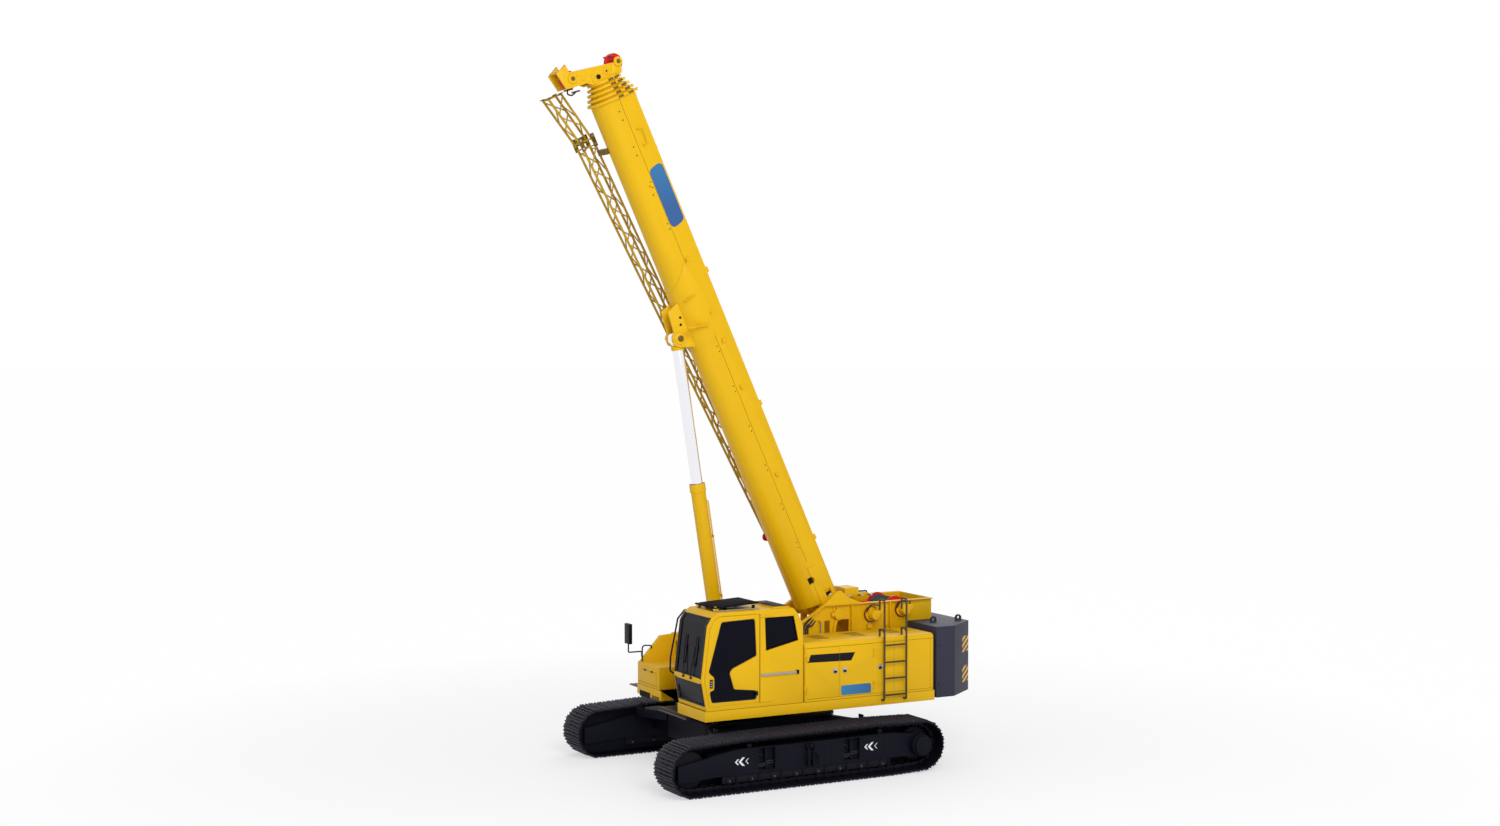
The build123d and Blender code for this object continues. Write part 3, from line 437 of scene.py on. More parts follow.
def turn_to(direction: Point, origin: Point = (0.0, 0.0, 0.0)) -> Matrix:
    """A placing whose Z axis points in a direction.

    Args:
        direction: where Z points.
        origin: where the placing's origin lies.

    Returns:
        The placing as a matrix.
    """
    turned = unit(direction).to_track_quat("Z", "Y").to_matrix().to_4x4()
    return Matrix.Translation(Vector(origin)) @ turned


def rounded(points: Sequence[Point], bend: float, steps: int = 5) -> list[Vector]:
    """Rounds the inner corners of a line of points with arcs.

    Args:
        points: the corners.
        bend: the arcs' radius, cut down where the runs are short.
        steps: how many chords an arc has.

    Returns:
        The rounded line.
    """
    corners = [Vector(p) for p in points]
    line = [corners[0]]
    for before, corner, after in zip(corners, corners[1:], corners[2:]):
        back, ahead = (before - corner), (after - corner)
        half = back.angle(ahead, math.pi) / 2
        if half > math.radians(88):
            line.append(corner)
            continue
        reach = min(bend / math.tan(half), back.length * 0.49, ahead.length * 0.49)
        start, end = corner + back.normalized() * reach, corner + ahead.normalized() * reach
        for k in range(steps + 1):
            t = k / steps
            line.append(start * (1 - t) ** 2 + corner * (2 * t * (1 - t)) + end * t ** 2)
    line.append(corners[-1])
    return line


class Form:
    """Solid shapes gathered into one piece, each with its own finish."""

    def __init__(self, place: Matrix | None = None) -> None:
        """Starts an empty piece.

        Args:
            place: where the shapes' own frame lies, the row's frame if left out.
        """
        self.place = place if place is not None else Matrix.Identity(4)
        self.points: list[Vector] = []
        self.faces: list[list[int]] = []
        self.face_finish: list[int] = []
        self.finishes: list[Finish] = []

    def take(self, points: Sequence[Vector], faces: Sequence[Sequence[int]], finish: Finish,
             where: Matrix | None = None) -> None:
        """Adds faces.

        Args:
            points: their corners.
            faces: each face's corners by number.
            finish: what they are made of.
            where: a placing within this piece's frame.
        """
        matrix = self.place if where is None else self.place @ where
        if finish not in self.finishes:
            self.finishes.append(finish)
        base, index = len(self.points), self.finishes.index(finish)
        self.points += [matrix @ Vector(p) for p in points]
        self.faces += [[base + i for i in face] for face in faces]
        self.face_finish += [index] * len(faces)

    def take_mesh(self, shape: bmesh.types.BMesh, finish: Finish, where: Matrix | None = None) -> None:
        """Adds a working mesh and frees it."""
        shape.verts.index_update()
        faces = [[v.index for v in face.verts] for face in shape.faces]
        self.take([v.co.copy() for v in shape.verts], faces, finish, where)
        shape.free()

    def prism(self, outline: Outline, low: float, high: float, finish: Finish, axis: str = "y",
              soft: float = 0.004, where: Matrix | None = None) -> None:
        """Adds an outline carried along an axis, with rounded edges.

        Args:
            outline: corners in the two other axes, in the order X, Y, Z.
            low: where it starts along the axis.
            high: where it ends.
            finish: what it is made of.
            axis: x, y or z.
            soft: the width of the rounded edges, nought for none.
            where: a placing within this piece's frame.
        """
        order = {"x": (2, 0, 1), "y": (0, 2, 1), "z": (0, 1, 2)}[axis]

        def corner(a: float, b: float, c: float) -> Vector:
            """A corner from its place in the outline and along the axis."""
            values = (a, b, c)
            return Vector((values[order[0]], values[order[1]], values[order[2]]))

        shape = bmesh.new()
        lower = [shape.verts.new(corner(a, b, low)) for a, b in outline]
        upper = [shape.verts.new(corner(a, b, high)) for a, b in outline]
        shape.faces.new(lower)
        shape.faces.new(upper)
        for i in range(len(outline)):
            shape.faces.new((lower[i - 1], lower[i], upper[i], upper[i - 1]))
        bmesh.ops.recalc_face_normals(shape, faces=shape.faces[:])
        self._soften(shape, soft)
        self.take_mesh(shape, finish, where)

    def _soften(self, shape: bmesh.types.BMesh, soft: float) -> None:
        """Rounds a working mesh's sharp edges."""
        if soft <= 0:
            return
        sharp = [e for e in shape.edges if e.calc_face_angle(0.0) > math.radians(20)]
        bmesh.ops.bevel(shape, geom=sharp, offset=soft, segments=2, profile=0.6, affect="EDGES",
                        clamp_overlap=True)

    def box(self, low: Point, high: Point, finish: Finish, soft: float = 0.004,
            where: Matrix | None = None) -> None:
        """Adds a block with rounded edges between two corners."""
        x0, x1 = sorted((low[0], high[0]))
        y0, y1 = sorted((low[1], high[1]))
        z0, z1 = sorted((low[2], high[2]))
        soft = min(soft, 0.3 * min(x1 - x0, y1 - y0, z1 - z0))
        self.prism(((x0, y0), (x1, y0), (x1, y1), (x0, y1)), z0, z1, finish, "z", soft, where)

    def turned(self, start: Point, direction: Point, profile: Outline, finish: Finish,
               sides: int = 24, spin: float = 0.0) -> None:
        """Adds a turned shape.

        Args:
            start: a point on its axis.
            direction: which way its axis runs.
            profile: distances along the axis with the radius at each.
            finish: what it is made of.
            sides: how many flats go round it.
            spin: a turn about the axis, in radians.
        """
        matrix = turn_to(direction, start)
        points: list[Vector] = []
        for distance, radius in profile:
            for k in range(sides):
                a = spin + 2 * math.pi * k / sides
                points.append(Vector((radius * math.cos(a), radius * math.sin(a), distance)))
        faces = []
        for ring in range(len(profile) - 1):
            for k in range(sides):
                n = (k + 1) % sides
                faces.append((ring * sides + k, ring * sides + n, (ring + 1) * sides + n, (ring + 1) * sides + k))
        closed = profile[0] == profile[-1]
        if not closed:
            faces.append(tuple(reversed(range(sides))))
            faces.append(tuple(range((len(profile) - 1) * sides, len(profile) * sides)))
        self.take(points, faces, finish, matrix)

    def rod(self, start: Point, end: Point, radius: float, finish: Finish, sides: int = 20,
            chamfer: float = 0.003) -> None:
        """Adds a round bar between two points."""
        length = (Vector(end) - Vector(start)).length
        c = min(chamfer, length * 0.3, radius * 0.3)
        profile = ((0.0, radius - c), (c, radius), (length - c, radius), (length, radius - c))
        self.turned(start, Vector(end) - Vector(start), profile, finish, sides)

    def ring(self, start: Point, direction: Point, length: float, outer: float, inner: float,
             finish: Finish, sides: int = 32) -> None:
        """Adds a short tube with chamfered rims."""
        c = min(0.003, length * 0.2, (outer - inner) * 0.2)
        profile = ((0.0, inner), (0.0, outer - c), (c, outer), (length - c, outer), (length, outer - c),
                   (length, inner), (0.0, inner))
        self.turned(start, direction, profile, finish, sides)

    def pipe(self, points: Sequence[Point], radius: float, bend: float, finish: Finish,
             sides: int = 10) -> None:
        """Adds a bent tube through corner points, with arcs of a radius where it turns."""
        line = rounded(points, bend)
        across = (line[1] - line[0]).orthogonal().normalized()
        made: list[Vector] = []
        for i, point in enumerate(line):
            ahead = (line[min(i + 1, len(line) - 1)] - line[max(i - 1, 0)]).normalized()
            across = (across - ahead * across.dot(ahead)).normalized()
            side = ahead.cross(across)
            for k in range(sides):
                a = 2 * math.pi * k / sides
                made.append(point + (across * math.cos(a) + side * math.sin(a)) * radius)
        faces = [tuple(reversed(range(sides))), tuple(range(len(made) - sides, len(made)))]
        for i in range(len(line) - 1):
            for k in range(sides):
                n = (k + 1) % sides
                faces.append((i * sides + k, i * sides + n, (i + 1) * sides + n, (i + 1) * sides + k))
        self.take(made, faces, finish)

    def bolt(self, at: Point, normal: Point, size: float, finish: Finish) -> None:
        """Adds a hexagon head on a washer.

        Args:
            at: the washer's seat.
            normal: which way the head stands.
            size: the head's radius over its corners.
            finish: what it is made of.
        """
        self.turned(at, normal, ((0.0, size * 1.35), (size * 0.22, size * 1.35)), finish, 12)
        self.turned(Vector(at) + unit(normal) * size * 0.22, normal,
                    ((0.0, size), (size * 0.6, size), (size * 0.72, size * 0.8)), finish, 6)

    def bolt_circle(self, centre: Point, normal: Point, radius: float, count: int, size: float,
                    finish: Finish) -> None:
        """Adds bolts evenly round a centre."""
        matrix = turn_to(normal, centre)
        for k in range(count):
            a = 2 * math.pi * (k + 0.5) / count
            self.bolt(matrix @ Vector((radius * math.cos(a), radius * math.sin(a), 0.0)), normal, size, finish)

    def piece(self, name: str, body: str, replaces: Sequence[str] = (),
              sharp: float = 32.0) -> bpy.types.Object:
        """Makes the gathered shapes one object that moves with a body.

        Args:
            name: the piece's name.
            body: the body it rides on.
            replaces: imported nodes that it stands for.
            sharp: faces that meet at more than this many degrees keep a crisp edge.

        Returns:
            The object.
        """
        mesh = bpy.data.meshes.new(name)
        mesh.from_pydata([tuple(p) for p in self.points], [], self.faces)
        for finish in self.finishes:
            mesh.materials.append(finish.material())
        mesh.polygons.foreach_set("material_index", self.face_finish)
        mesh.polygons.foreach_set("use_smooth", [True] * len(mesh.polygons))
        mesh.set_sharp_from_angle(angle=math.radians(sharp))
        mesh.update()
        made = bpy.data.objects.new(name, mesh)
        bpy.context.scene.collection.objects.link(made)
        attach(made, body)
        if replaces:
            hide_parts(*replaces)
        LOG.info("%s: %d faces on %s", name, len(self.faces), body)
        return made


def body_of(node: str) -> str:
    """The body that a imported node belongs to."""
    return FRAME["nodes"][node]["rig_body"]


Choice = Callable[[Vector, Vector], Finish]


def softened(form: Form, node: str, finish: Finish | Choice, soft: float = 0.005,
             angle: float = 28.0) -> None:
    """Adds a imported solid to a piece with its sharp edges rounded.

    Args:
        form: the piece that takes it.
        node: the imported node.
        finish: one finish, or a function of a face's normal and centre that picks one.
        soft: the width of the rounded edges.
        angle: edges that turn by more than this many degrees are rounded.
    """
    shape = bmesh.new()
    shape.from_mesh(FRAME["nodes"][node].data)
    bmesh.ops.remove_doubles(shape, verts=shape.verts[:], dist=2e-5)
    bmesh.ops.dissolve_limit(shape, angle_limit=math.radians(0.8), verts=shape.verts[:], edges=shape.edges[:])
    sharp = [e for e in shape.edges if len(e.link_faces) == 2 and e.calc_face_angle(0.0) > math.radians(angle)]
    if soft > 0:
        bmesh.ops.bevel(shape, geom=sharp, offset=soft, segments=2, profile=0.6, affect="EDGES",
                        clamp_overlap=True)
    if isinstance(finish, Finish):
        form.take_mesh(shape, finish)
        return
    shape.normal_update()
    shape.verts.index_update()
    points = [v.co.copy() for v in shape.verts]
    groups: dict[Finish, list[list[int]]] = {}
    for face in shape.faces:
        chosen = finish(face.normal.copy(), face.calc_center_median())
        groups.setdefault(chosen, []).append([v.index for v in face.verts])
    for chosen, faces in groups.items():
        used = sorted({i for face in faces for i in face})
        renumbered = {old: new for new, old in enumerate(used)}
        form.take([points[i] for i in used], [[renumbered[i] for i in face] for face in faces], chosen)
    shape.free()


def dress(node: str, finish: Finish) -> None:
    """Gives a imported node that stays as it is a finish."""
    mesh = FRAME["nodes"][node].data
    mesh.materials.clear()
    mesh.materials.append(finish.material())


def clipped(outline: list[tuple[float, float]], limit: float, keep: float) -> list[tuple[float, float]]:
    """Cuts an outline along a line of its first coordinate.

    Args:
        outline: the corners.
        limit: where the cut lies.
        keep: 1 to keep the larger side, -1 to keep the smaller.

    Returns:
        The corners of what is left.
    """
    found = []
    for (a0, b0), (a1, b1) in zip(outline, outline[1:] + outline[:1]):
        inside = (a0 - limit) * keep >= 0
        if inside:
            found.append((a0, b0))
        if inside != ((a1 - limit) * keep >= 0):
            share = (limit - a0) / (a1 - a0)
            found.append((limit, b0 + (b1 - b0) * share))
    return found


def moved_in(outline: Outline, distance: float) -> list[tuple[float, float]]:
    """Moves each corner of an outline inwards along both of its sides."""
    corners = [Vector(p) for p in outline]
    turn = sum(a.x * b.y - b.x * a.y for a, b in zip(corners, corners[1:] + corners[:1]))
    way = distance if turn > 0 else -distance
    found = []
    for before, here, after in zip(corners[-1:] + corners[:-1], corners, corners[1:] + corners[:1]):
        first, second = (here - before).normalized(), (after - here).normalized()
        n1, n2 = Vector((-first.y, first.x)), Vector((-second.y, second.x))
        shifted = here + (n1 + n2) * (way / (1 + n1.dot(n2)))
        found.append((shifted.x, shifted.y))
    return found


def corner_arcs(outline: Outline, radius: float, steps: int = 6) -> list[list[tuple[float, float]]]:
    """An arc for each corner of an outline, cut down where its sides are short."""
    corners = [Vector(p) for p in outline]
    arcs = []
    for before, here, after in zip(corners[-1:] + corners[:-1], corners, corners[1:] + corners[:1]):
        back, ahead = before - here, after - here
        half = back.angle(ahead, math.pi) / 2
        reach = 0.0
        if half < math.radians(85):
            reach = min(radius / math.tan(half), back.length * 0.45, ahead.length * 0.45)
        start, end = here + back.normalized() * reach, here + ahead.normalized() * reach
        arc = []
        for k in range(steps + 1):
            t = k / steps
            at = start * (1 - t) ** 2 + here * (2 * t * (1 - t)) + end * t ** 2
            arc.append((at.x, at.y))
        arcs.append(arc if reach > 0 else [(here.x, here.y)] * (steps + 1))
    return arcs


def round_corners(outline: Outline, radius: float) -> list[tuple[float, float]]:
    """An outline with its corners rounded."""
    return [point for arc in corner_arcs(outline, radius) for point in arc]


def ring_plate(form: Form, outline: Outline, width: float, radius: float, low: float, high: float,
               finish: Finish) -> None:
    """Adds a flat ring in X and Z: an outline, less the same outline moved in and rounded.

    Args:
        form: the piece that takes it.
        outline: the outer corners in X and Z.
        width: how wide the ring is along its straight sides.
        radius: how round its inner corners are.
        low: its lower Y.
        high: its upper Y.
        finish: what it is made of.
    """
    arcs = corner_arcs(moved_in(outline, width), radius)
    steps = len(arcs[0])
    points: list[Vector] = []
    for y in (low, high):
        points += [Vector((x, y, z)) for x, z in outline]
        points += [Vector((x, y, z)) for arc in arcs for x, z in arc]
    count, half = len(outline), len(outline) * (steps + 1)
    faces: list[list[int]] = []

    def inner(i: int, k: int) -> int:
        """The number of a point on the inner line."""
        return count + (i % count) * steps + k

    for base, flip in ((0, False), (half, True)):
        for i in range(count):
            flat = [[base + i, base + inner(i, k), base + inner(i, k + 1)] for k in range(steps - 1)]
            flat.append([base + i, base + inner(i, steps - 1), base + inner(i + 1, 0), base + (i + 1) % count])
            faces += [face[::-1] if flip else face for face in flat]
    for i in range(count):
        n = (i + 1) % count
        faces.append([i, n, n + half, i + half])
        walk = [inner(i, k) for k in range(steps)] + [inner(i + 1, 0)]
        faces += [[b, a, a + half, b + half] for a, b in zip(walk, walk[1:])]
    shape = bmesh.new()
    verts = [shape.verts.new(p) for p in points]
    for face in faces:
        shape.faces.new([verts[i] for i in face])
    bmesh.ops.remove_doubles(shape, verts=shape.verts[:], dist=1e-5)
    bmesh.ops.recalc_face_normals(shape, faces=shape.faces[:])
    form.take_mesh(shape, finish)


def node_loops(node: str, axis: int, level: float) -> list[list[tuple[float, float]]]:
    """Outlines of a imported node's flat faces at a level, in the two other axes.

    Args:
        node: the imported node.
        axis: the axis the faces look along, 0 to 2.
        level: where the faces lie along it.

    Returns:
        One list of corners for each outline, without the points on straight runs.
    """
    mesh = FRAME["nodes"][node].data
    edges: dict[tuple[int, int], tuple[int, int]] = {}
    points = {i: v.co for i, v in enumerate(mesh.vertices)}
    names = {i: tuple(round(c, 5) for c in p) for i, p in points.items()}
    first = {name: i for i, name in reversed(list(names.items()))}
    same = {i: first[name] for i, name in names.items()}
    for polygon in mesh.polygons:
        if abs(polygon.normal[axis]) < 0.99 or any(abs(points[i][axis] - level) > 3e-4 for i in polygon.vertices):
            continue
        ring = [same[i] for i in polygon.vertices]
        for a, b in zip(ring, ring[1:] + ring[:1]):
            if (b, a) in edges:
                del edges[(b, a)]
            else:
                edges[(a, b)] = (a, b)
    follow = {a: b for a, b in edges}
    others = [i for i in range(3) if i != axis]
    found = []
    while follow:
        start, here = next(iter(follow.items()))
        ring = [start]
        del follow[start]
        while here != start and here in follow:
            ring.append(here)
            here = follow.pop(here)
        flat = [Vector((points[i][others[0]], points[i][others[1]])) for i in ring]
        kept = []
        for before, middle, after in zip(flat[-1:] + flat[:-1], flat, flat[1:] + flat[:1]):
            if (middle - before).angle(after - middle, 0.0) > math.radians(1.0):
                kept.append((middle.x, middle.y))
        found.append(kept)
    return found


# ---- places taken from the frame -------------------------------------------------------------------
def joint(name: str) -> dict[str, Any]:
    """A joint's record by name."""
    return next(j for j in FRAME["joints"] if j["name"] == name)


def boom_frame() -> Matrix:
    """The boom's own frame: X up the boom, Y to the left, Z towards its top plate, from the foot's pin."""
    along = unit(joint("extend_second")["axis"])
    left = Vector((0.0, 1.0, 0.0))
    matrix = Matrix((along, left, along.cross(left))).transposed().to_4x4()
    return Matrix.Translation(Vector(joint("luff")["pos_m"])) @ matrix


def local_box(node: str, place: Matrix) -> tuple[Vector, Vector]:
    """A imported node's lowest and highest corner in another frame.

    Args:
        node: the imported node.
        place: the frame to measure in.

    Returns:
        The two corners.
    """
    inverse = place.inverted()
    points = [inverse @ v.co for v in FRAME["nodes"][node].data.vertices]
    low = Vector([min(p[i] for p in points) for i in range(3)])
    high = Vector([max(p[i] for p in points) for i in range(3)])
    return low, high


# ---- undercarriage ---------------------------------------------------------------------------------
@dataclass
class TrackLoop:
    """One track: shoes with three grousers bolted on paired chain links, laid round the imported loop."""

    side: str
    shoes: int = 66
    grouser: float = 0.024
    plate: float = 0.020
    rib: float = 0.015
    link_half: float = 0.085

    def path(self) -> list[Vector]:
        """The loop's outer line in X and Z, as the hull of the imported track."""
        vertices = FRAME["nodes"][f"track_{self.side}"].data.vertices
        flat = sorted({(round(v.co.x, 5), round(v.co.z, 5)) for v in vertices})

        def half(points: Sequence[tuple[float, float]]) -> list[tuple[float, float]]:
            """One side of the hull."""
            kept: list[tuple[float, float]] = []
            for p in points:
                while len(kept) > 1 and ((kept[-1][0] - kept[-2][0]) * (p[1] - kept[-2][1])
                                         - (kept[-1][1] - kept[-2][1]) * (p[0] - kept[-2][0])) <= 0:
                    kept.pop()
                kept.append(p)
            return kept[:-1]

        return [Vector((x, 0.0, z)) for x, z in half(flat) + half(flat[::-1])]

    def spots(self, inset: float) -> list[Matrix]:
        """A placing for each shoe: X along the run, Z outwards, on a line inset from the hull."""
        hull = self.path()
        lengths = [(hull[i] - hull[i - 1]).length for i in range(len(hull))]
        pitch = sum(lengths) / self.shoes
        found = []
        walked, edge = 0.0, 0
        for k in range(self.shoes):
            goal = k * pitch
            while walked + lengths[edge] < goal:
                walked += lengths[edge]
                edge += 1
            start, end = hull[edge - 1], hull[edge]
            ahead = (end - start).normalized()
            out = ahead.cross(Vector((0.0, 1.0, 0.0))) * -1.0
            at = start + ahead * (goal - walked) - out * inset
            found.append(Matrix.Translation(at) @ Matrix((ahead, Vector((0, 1, 0)), out)).transposed().to_4x4())
        return found

    def build(self) -> None:
        """Lays the shoes and links."""
        low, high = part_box(f"track_{self.side}")
        middle, half = (low.y + high.y) / 2, (high.y - low.y) / 2
        form = Form()
        for spot in self.spots(self.grouser + 0.001):
            form.place = Matrix.Translation((0.0, middle, 0.0)) @ spot
            self.shoe(form, half)
            self.links(form)
        form.place = Matrix.Identity(4)
        # a sheet of painted shade inside the loop
        self.guard(form, middle)
        form.piece(f"track_{self.side}_shoes", "undercarriage", (f"track_{self.side}",))

    def guard(self, form: Form, middle: float) -> None:
        """A dark plate beside the chain that closes the loop's inside, a sheet of painted shade where the real track
        shows only its own shadow.
        """
        line = [(p.x, p.z) for p in self.path()]
        way = -1.0 if middle > 0 else 1.0
        y = middle + way * 0.135
        form.prism(moved_in(line, 0.062), y - 0.004, y + 0.004, NAVY, "y", 0.0)

    def shoe(self, form: Form, half: float) -> None:
        """One plate with three grousers, a turned-down edge and four bolts."""
        outline = ((-0.092, -self.plate), (0.070, -self.plate), (0.086, -self.plate - 0.006), (0.086, -0.008),
                   (0.070, 0.0), (-0.086, 0.0), (-0.092, -0.008))
        form.prism(outline, -half + 0.001, half - 0.001, CHAIN, "y", 0.0025)
        for x in (-0.062, 0.0, 0.062):
            tip = ((x - self.rib, -0.002), (x + self.rib, -0.002), (x + self.rib * 0.55, self.grouser),
                   (x - self.rib * 0.55, self.grouser))
            form.prism(tip, -half + 0.012, half - 0.012, SHOE, "y", 0.0025)
        for x in (-0.031, 0.031):
            for y in (-self.link_half, self.link_half):
                form.bolt((x, y, 0.0), (0, 0, 1), 0.011, CHAIN)

    def links(self, form: Form) -> None:
        """A pair of chain links with the pin between them."""
        deep = -self.plate - 0.076
        outline = ((-0.082, deep + 0.02), (-0.05, deep), (0.05, deep), (0.082, deep + 0.02), (0.082, -0.045),
                   (0.06, -self.plate), (-0.06, -self.plate), (-0.082, -0.045))
        for y in (-self.link_half, self.link_half):
            form.prism(outline, y - 0.014, y + 0.014, CHAIN, "y", 0.003)
        form.rod((0.08, -self.link_half, deep / 2 - 0.01), (0.08, self.link_half, deep / 2 - 0.01), 0.026, CHAIN, 10)


@dataclass
class Undercarriage:
    """Track frames, wheels, rollers and the carbody between them."""

    arrow: float = 0.066
    rim: float = 0.012

    def build(self) -> None:
        """Builds both tracks and what they run on."""
        for side in ("left", "right"):
            TrackLoop(side).build()
            self.frame(side)
        self.wheels()
        self.rollers()
        self.carbody()
        dress("carrier_rollers", CHAIN)

    def frame(self, side: str) -> None:
        """A track frame with its bolts, cover plates, bracket and pale arrows."""
        node = f"track_frame_{side}"
        low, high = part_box(node)
        form = Form()
        softened(form, node, NAVY, 0.006)
        way = 1.0 if side == "left" else -1.0
        face = (high.y if way > 0 else low.y) - way * 0.075
        for x, z in ((1.30, 0.480), (-1.06, 0.497)):
            self.arrows(form, x, z, face, way)
        for middle in (0.765, -0.790):
            self.pocket(form, middle, face, way)
        for x in (0.56, 0.97, -0.59, -0.99):
            for z in (0.36, 0.49, 0.62):
                form.bolt((x, face, z), (0, way, 0), 0.010, NAVY)
        for x in (1.50, 0.42, -0.42, -1.42):
            form.box((x - 0.004, face - way * 0.001, 0.30), (x + 0.004, face + way * 0.004, 0.655), BLACK, 0.0)
        zig = ((0.083, 0.655), (-0.044, 0.655), (-0.175, 0.482), (-0.172, 0.292), (-0.135, 0.292), (-0.135, 0.455),
               (-0.012, 0.60), (0.083, 0.60))
        form.prism(zig, face + way * 0.075, face + way * 0.060, NAVY, "y", 0.003)
        for x, z in ((0.02, 0.628), (-0.152, 0.34), (-0.152, 0.43)):
            form.bolt((x, face + way * 0.0745, z), (0, way, 0), 0.010, NAVY)
        form.piece(f"track_frame_{side}_shell", "undercarriage", (node,))

    def pocket(self, form: Form, middle: float, face: float, way: float) -> None:
        """What shows in a pocket: a cross rib, a grease fitting, and two hoses."""
        back = face - way * 0.089
        form.box((middle - 0.012, back, 0.32), (middle + 0.012, back + way * 0.05, 0.65), NAVY, 0.004)
        form.turned((middle + 0.075, back, 0.53), (0, way, 0),
                    ((0.0, 0.042), (0.02, 0.042), (0.03, 0.03), (0.045, 0.014),
                                                               (0.055, 0.012)), CHAIN, 20)
        for z in (0.40, 0.435):
            form.pipe(((middle - 0.145, back + way * 0.03, z), (middle - 0.05, back + way * 0.03, z),
                       (middle + 0.05, back + way * 0.03, z - 0.04), (middle + 0.145, back + way * 0.03, z - 0.04)),
                      0.011, 0.03, RUBBER, 8)

    def arrows(self, form: Form, x: float, z: float, face: float, way: float) -> None:
        """Three pale chevrons that point forward, the middle one bold."""
        for front, size, width in ((x + 0.035, 0.044, 0.028), (x - 0.030, self.arrow, 0.044),
                                   (x - 0.150, 0.044, 0.016)):
            outline = ((front, z), (front - size, z + size), (front - size - width, z + size), (front - width, z),
                       (front - size - width, z - size), (front - size, z - size))
            form.prism(outline, face + way * 0.001, face + way * 0.003, WHITE, "y", 0.0)

    def wheels(self) -> None:
        """Idlers with rims and sprockets with teeth and bolted hubs."""
        form = Form()
        softened(form, "idlers", CHAIN, 0.006, 60)
        form.piece("idler_wheels", "undercarriage", ("idlers",))
        form = Form()
        low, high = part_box("sprockets")
        middle = (low + high) / 2
        radius = (high.z - low.z) / 2
        for way in (1.0, -1.0):
            inner = way * (high.y - 0.35)
            self.sprocket(form, middle.x, middle.z, inner, radius)
            outer = way * high.y
            hub = Vector((middle.x, outer - way * 0.15, middle.z))
            out = Vector((0, way, 0))
            form.turned(hub, out, ((0.0, 0.184), (0.085, 0.184), (0.103, 0.172), (0.105, 0.152), (0.142, 0.150),
                                   (0.149, 0.142), (0.149, 0.05), (0.1495, 0.0485)), NAVY, 40)
            form.bolt_circle(hub + out * 0.104, out, 0.166, 20, 0.008, NAVY)
            form.bolt_circle(hub + out * 0.145, out, 0.110, 8, 0.006, NAVY)
        form.piece("drive_sprockets", "undercarriage", ("sprockets",))

    def sprocket(self, form: Form, x: float, z: float, y: float, radius: float) -> None:
        """A toothed drive wheel and its hub."""
        teeth, outline = 23, []
        for k in range(teeth):
            for turn, reach in ((0.0, 0.90), (0.22, 0.90), (0.40, 1.0), (0.60, 1.0), (0.78, 0.90)):
                a = 2 * math.pi * (k + turn) / teeth
                outline.append((x + radius * reach * math.cos(a), z + radius * reach * math.sin(a)))
        form.prism(outline, y - 0.034, y + 0.034, CHAIN, "y", 0.003)
        form.rod((x, y - 0.15, z), (x, y + 0.15, z), 0.15, NAVY, 32)

    def rollers(self) -> None:
        """Flanged bottom rollers with end caps on their rails."""
        form = Form()
        softened(form, "bottom_rollers", CHAIN, 0.004, 60)
        low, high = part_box("bottom_rollers")
        for way in (1.0, -1.0):
            middle = way * (high.y - 0.19)
            for k in range(8):
                x = high.x - 0.12 - k * (high.x - low.x - 0.24) / 7
                z = low.z + 0.062
                for y in (-0.118, -0.066, 0.05, 0.102):
                    form.ring((x, middle + y, z), (0, 1, 0), 0.016, 0.0615, 0.03, CHAIN, 24)
                for end in (-1, 1):
                    form.turned((x, middle + end * 0.165, z), (0, end, 0),
                                ((0.0, 0.058), (0.014, 0.058), (0.022, 0.046),
                                                                          (0.024, 0.02)), CHAIN, 24)
                    form.bolt((x, middle + end * 0.1885, z), (0, end, 0), 0.010, SILVER_DULL)
                form.box((x - 0.155, middle + way * 0.164, z - 0.05), (x - 0.115, middle + way * 0.176, 0.27), NAVY,
                         0.003)
        form.piece("roller_row", "undercarriage", ("bottom_rollers",))

    def carbody(self) -> None:
        """The centre box, its bolted slewing ring and its lashing lugs."""
        form = Form()
        softened(form, "carbody", NAVY, 0.008)
        softened(form, "tie_down_lugs", NAVY, 0.003)
        low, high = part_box("slew_ring")
        radius = (high.x - low.x) / 2
        form.ring((0, 0, low.z), (0, 0, 1), 0.055, radius, radius - 0.16, NAVY, 96)
        form.ring((0, 0, low.z + 0.062), (0, 0, 1), high.z - low.z - 0.062, radius - 0.03, radius - 0.16, CHAIN, 96)
        form.bolt_circle((0, 0, low.z + 0.055), (0, 0, 1), radius - 0.014, 60, 0.008, NAVY)
        lug_low, lug_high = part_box("tie_down_lugs")
        for way in (1.0, -1.0):
            y = way * (lug_high.y - 0.06)
            for x in (lug_high.x - 0.015, lug_low.x + 0.015):
                form.pipe(((x - 0.030, y, 0.862), (x + 0.030, y, 0.862)), 0.016, 0.01, CHAIN)
                form.pipe(((x - 0.026, y, 0.86), (x - 0.026, y, 0.80), (x + 0.026, y, 0.80), (x + 0.026, y, 0.86)),
                          0.010, 0.03, CHAIN)
        form.piece("carbody_shell", "undercarriage", ("carbody", "tie_down_lugs", "slew_ring"))


# ---- superstructure --------------------------------------------------------------------------------
SUPER = "superstructure"


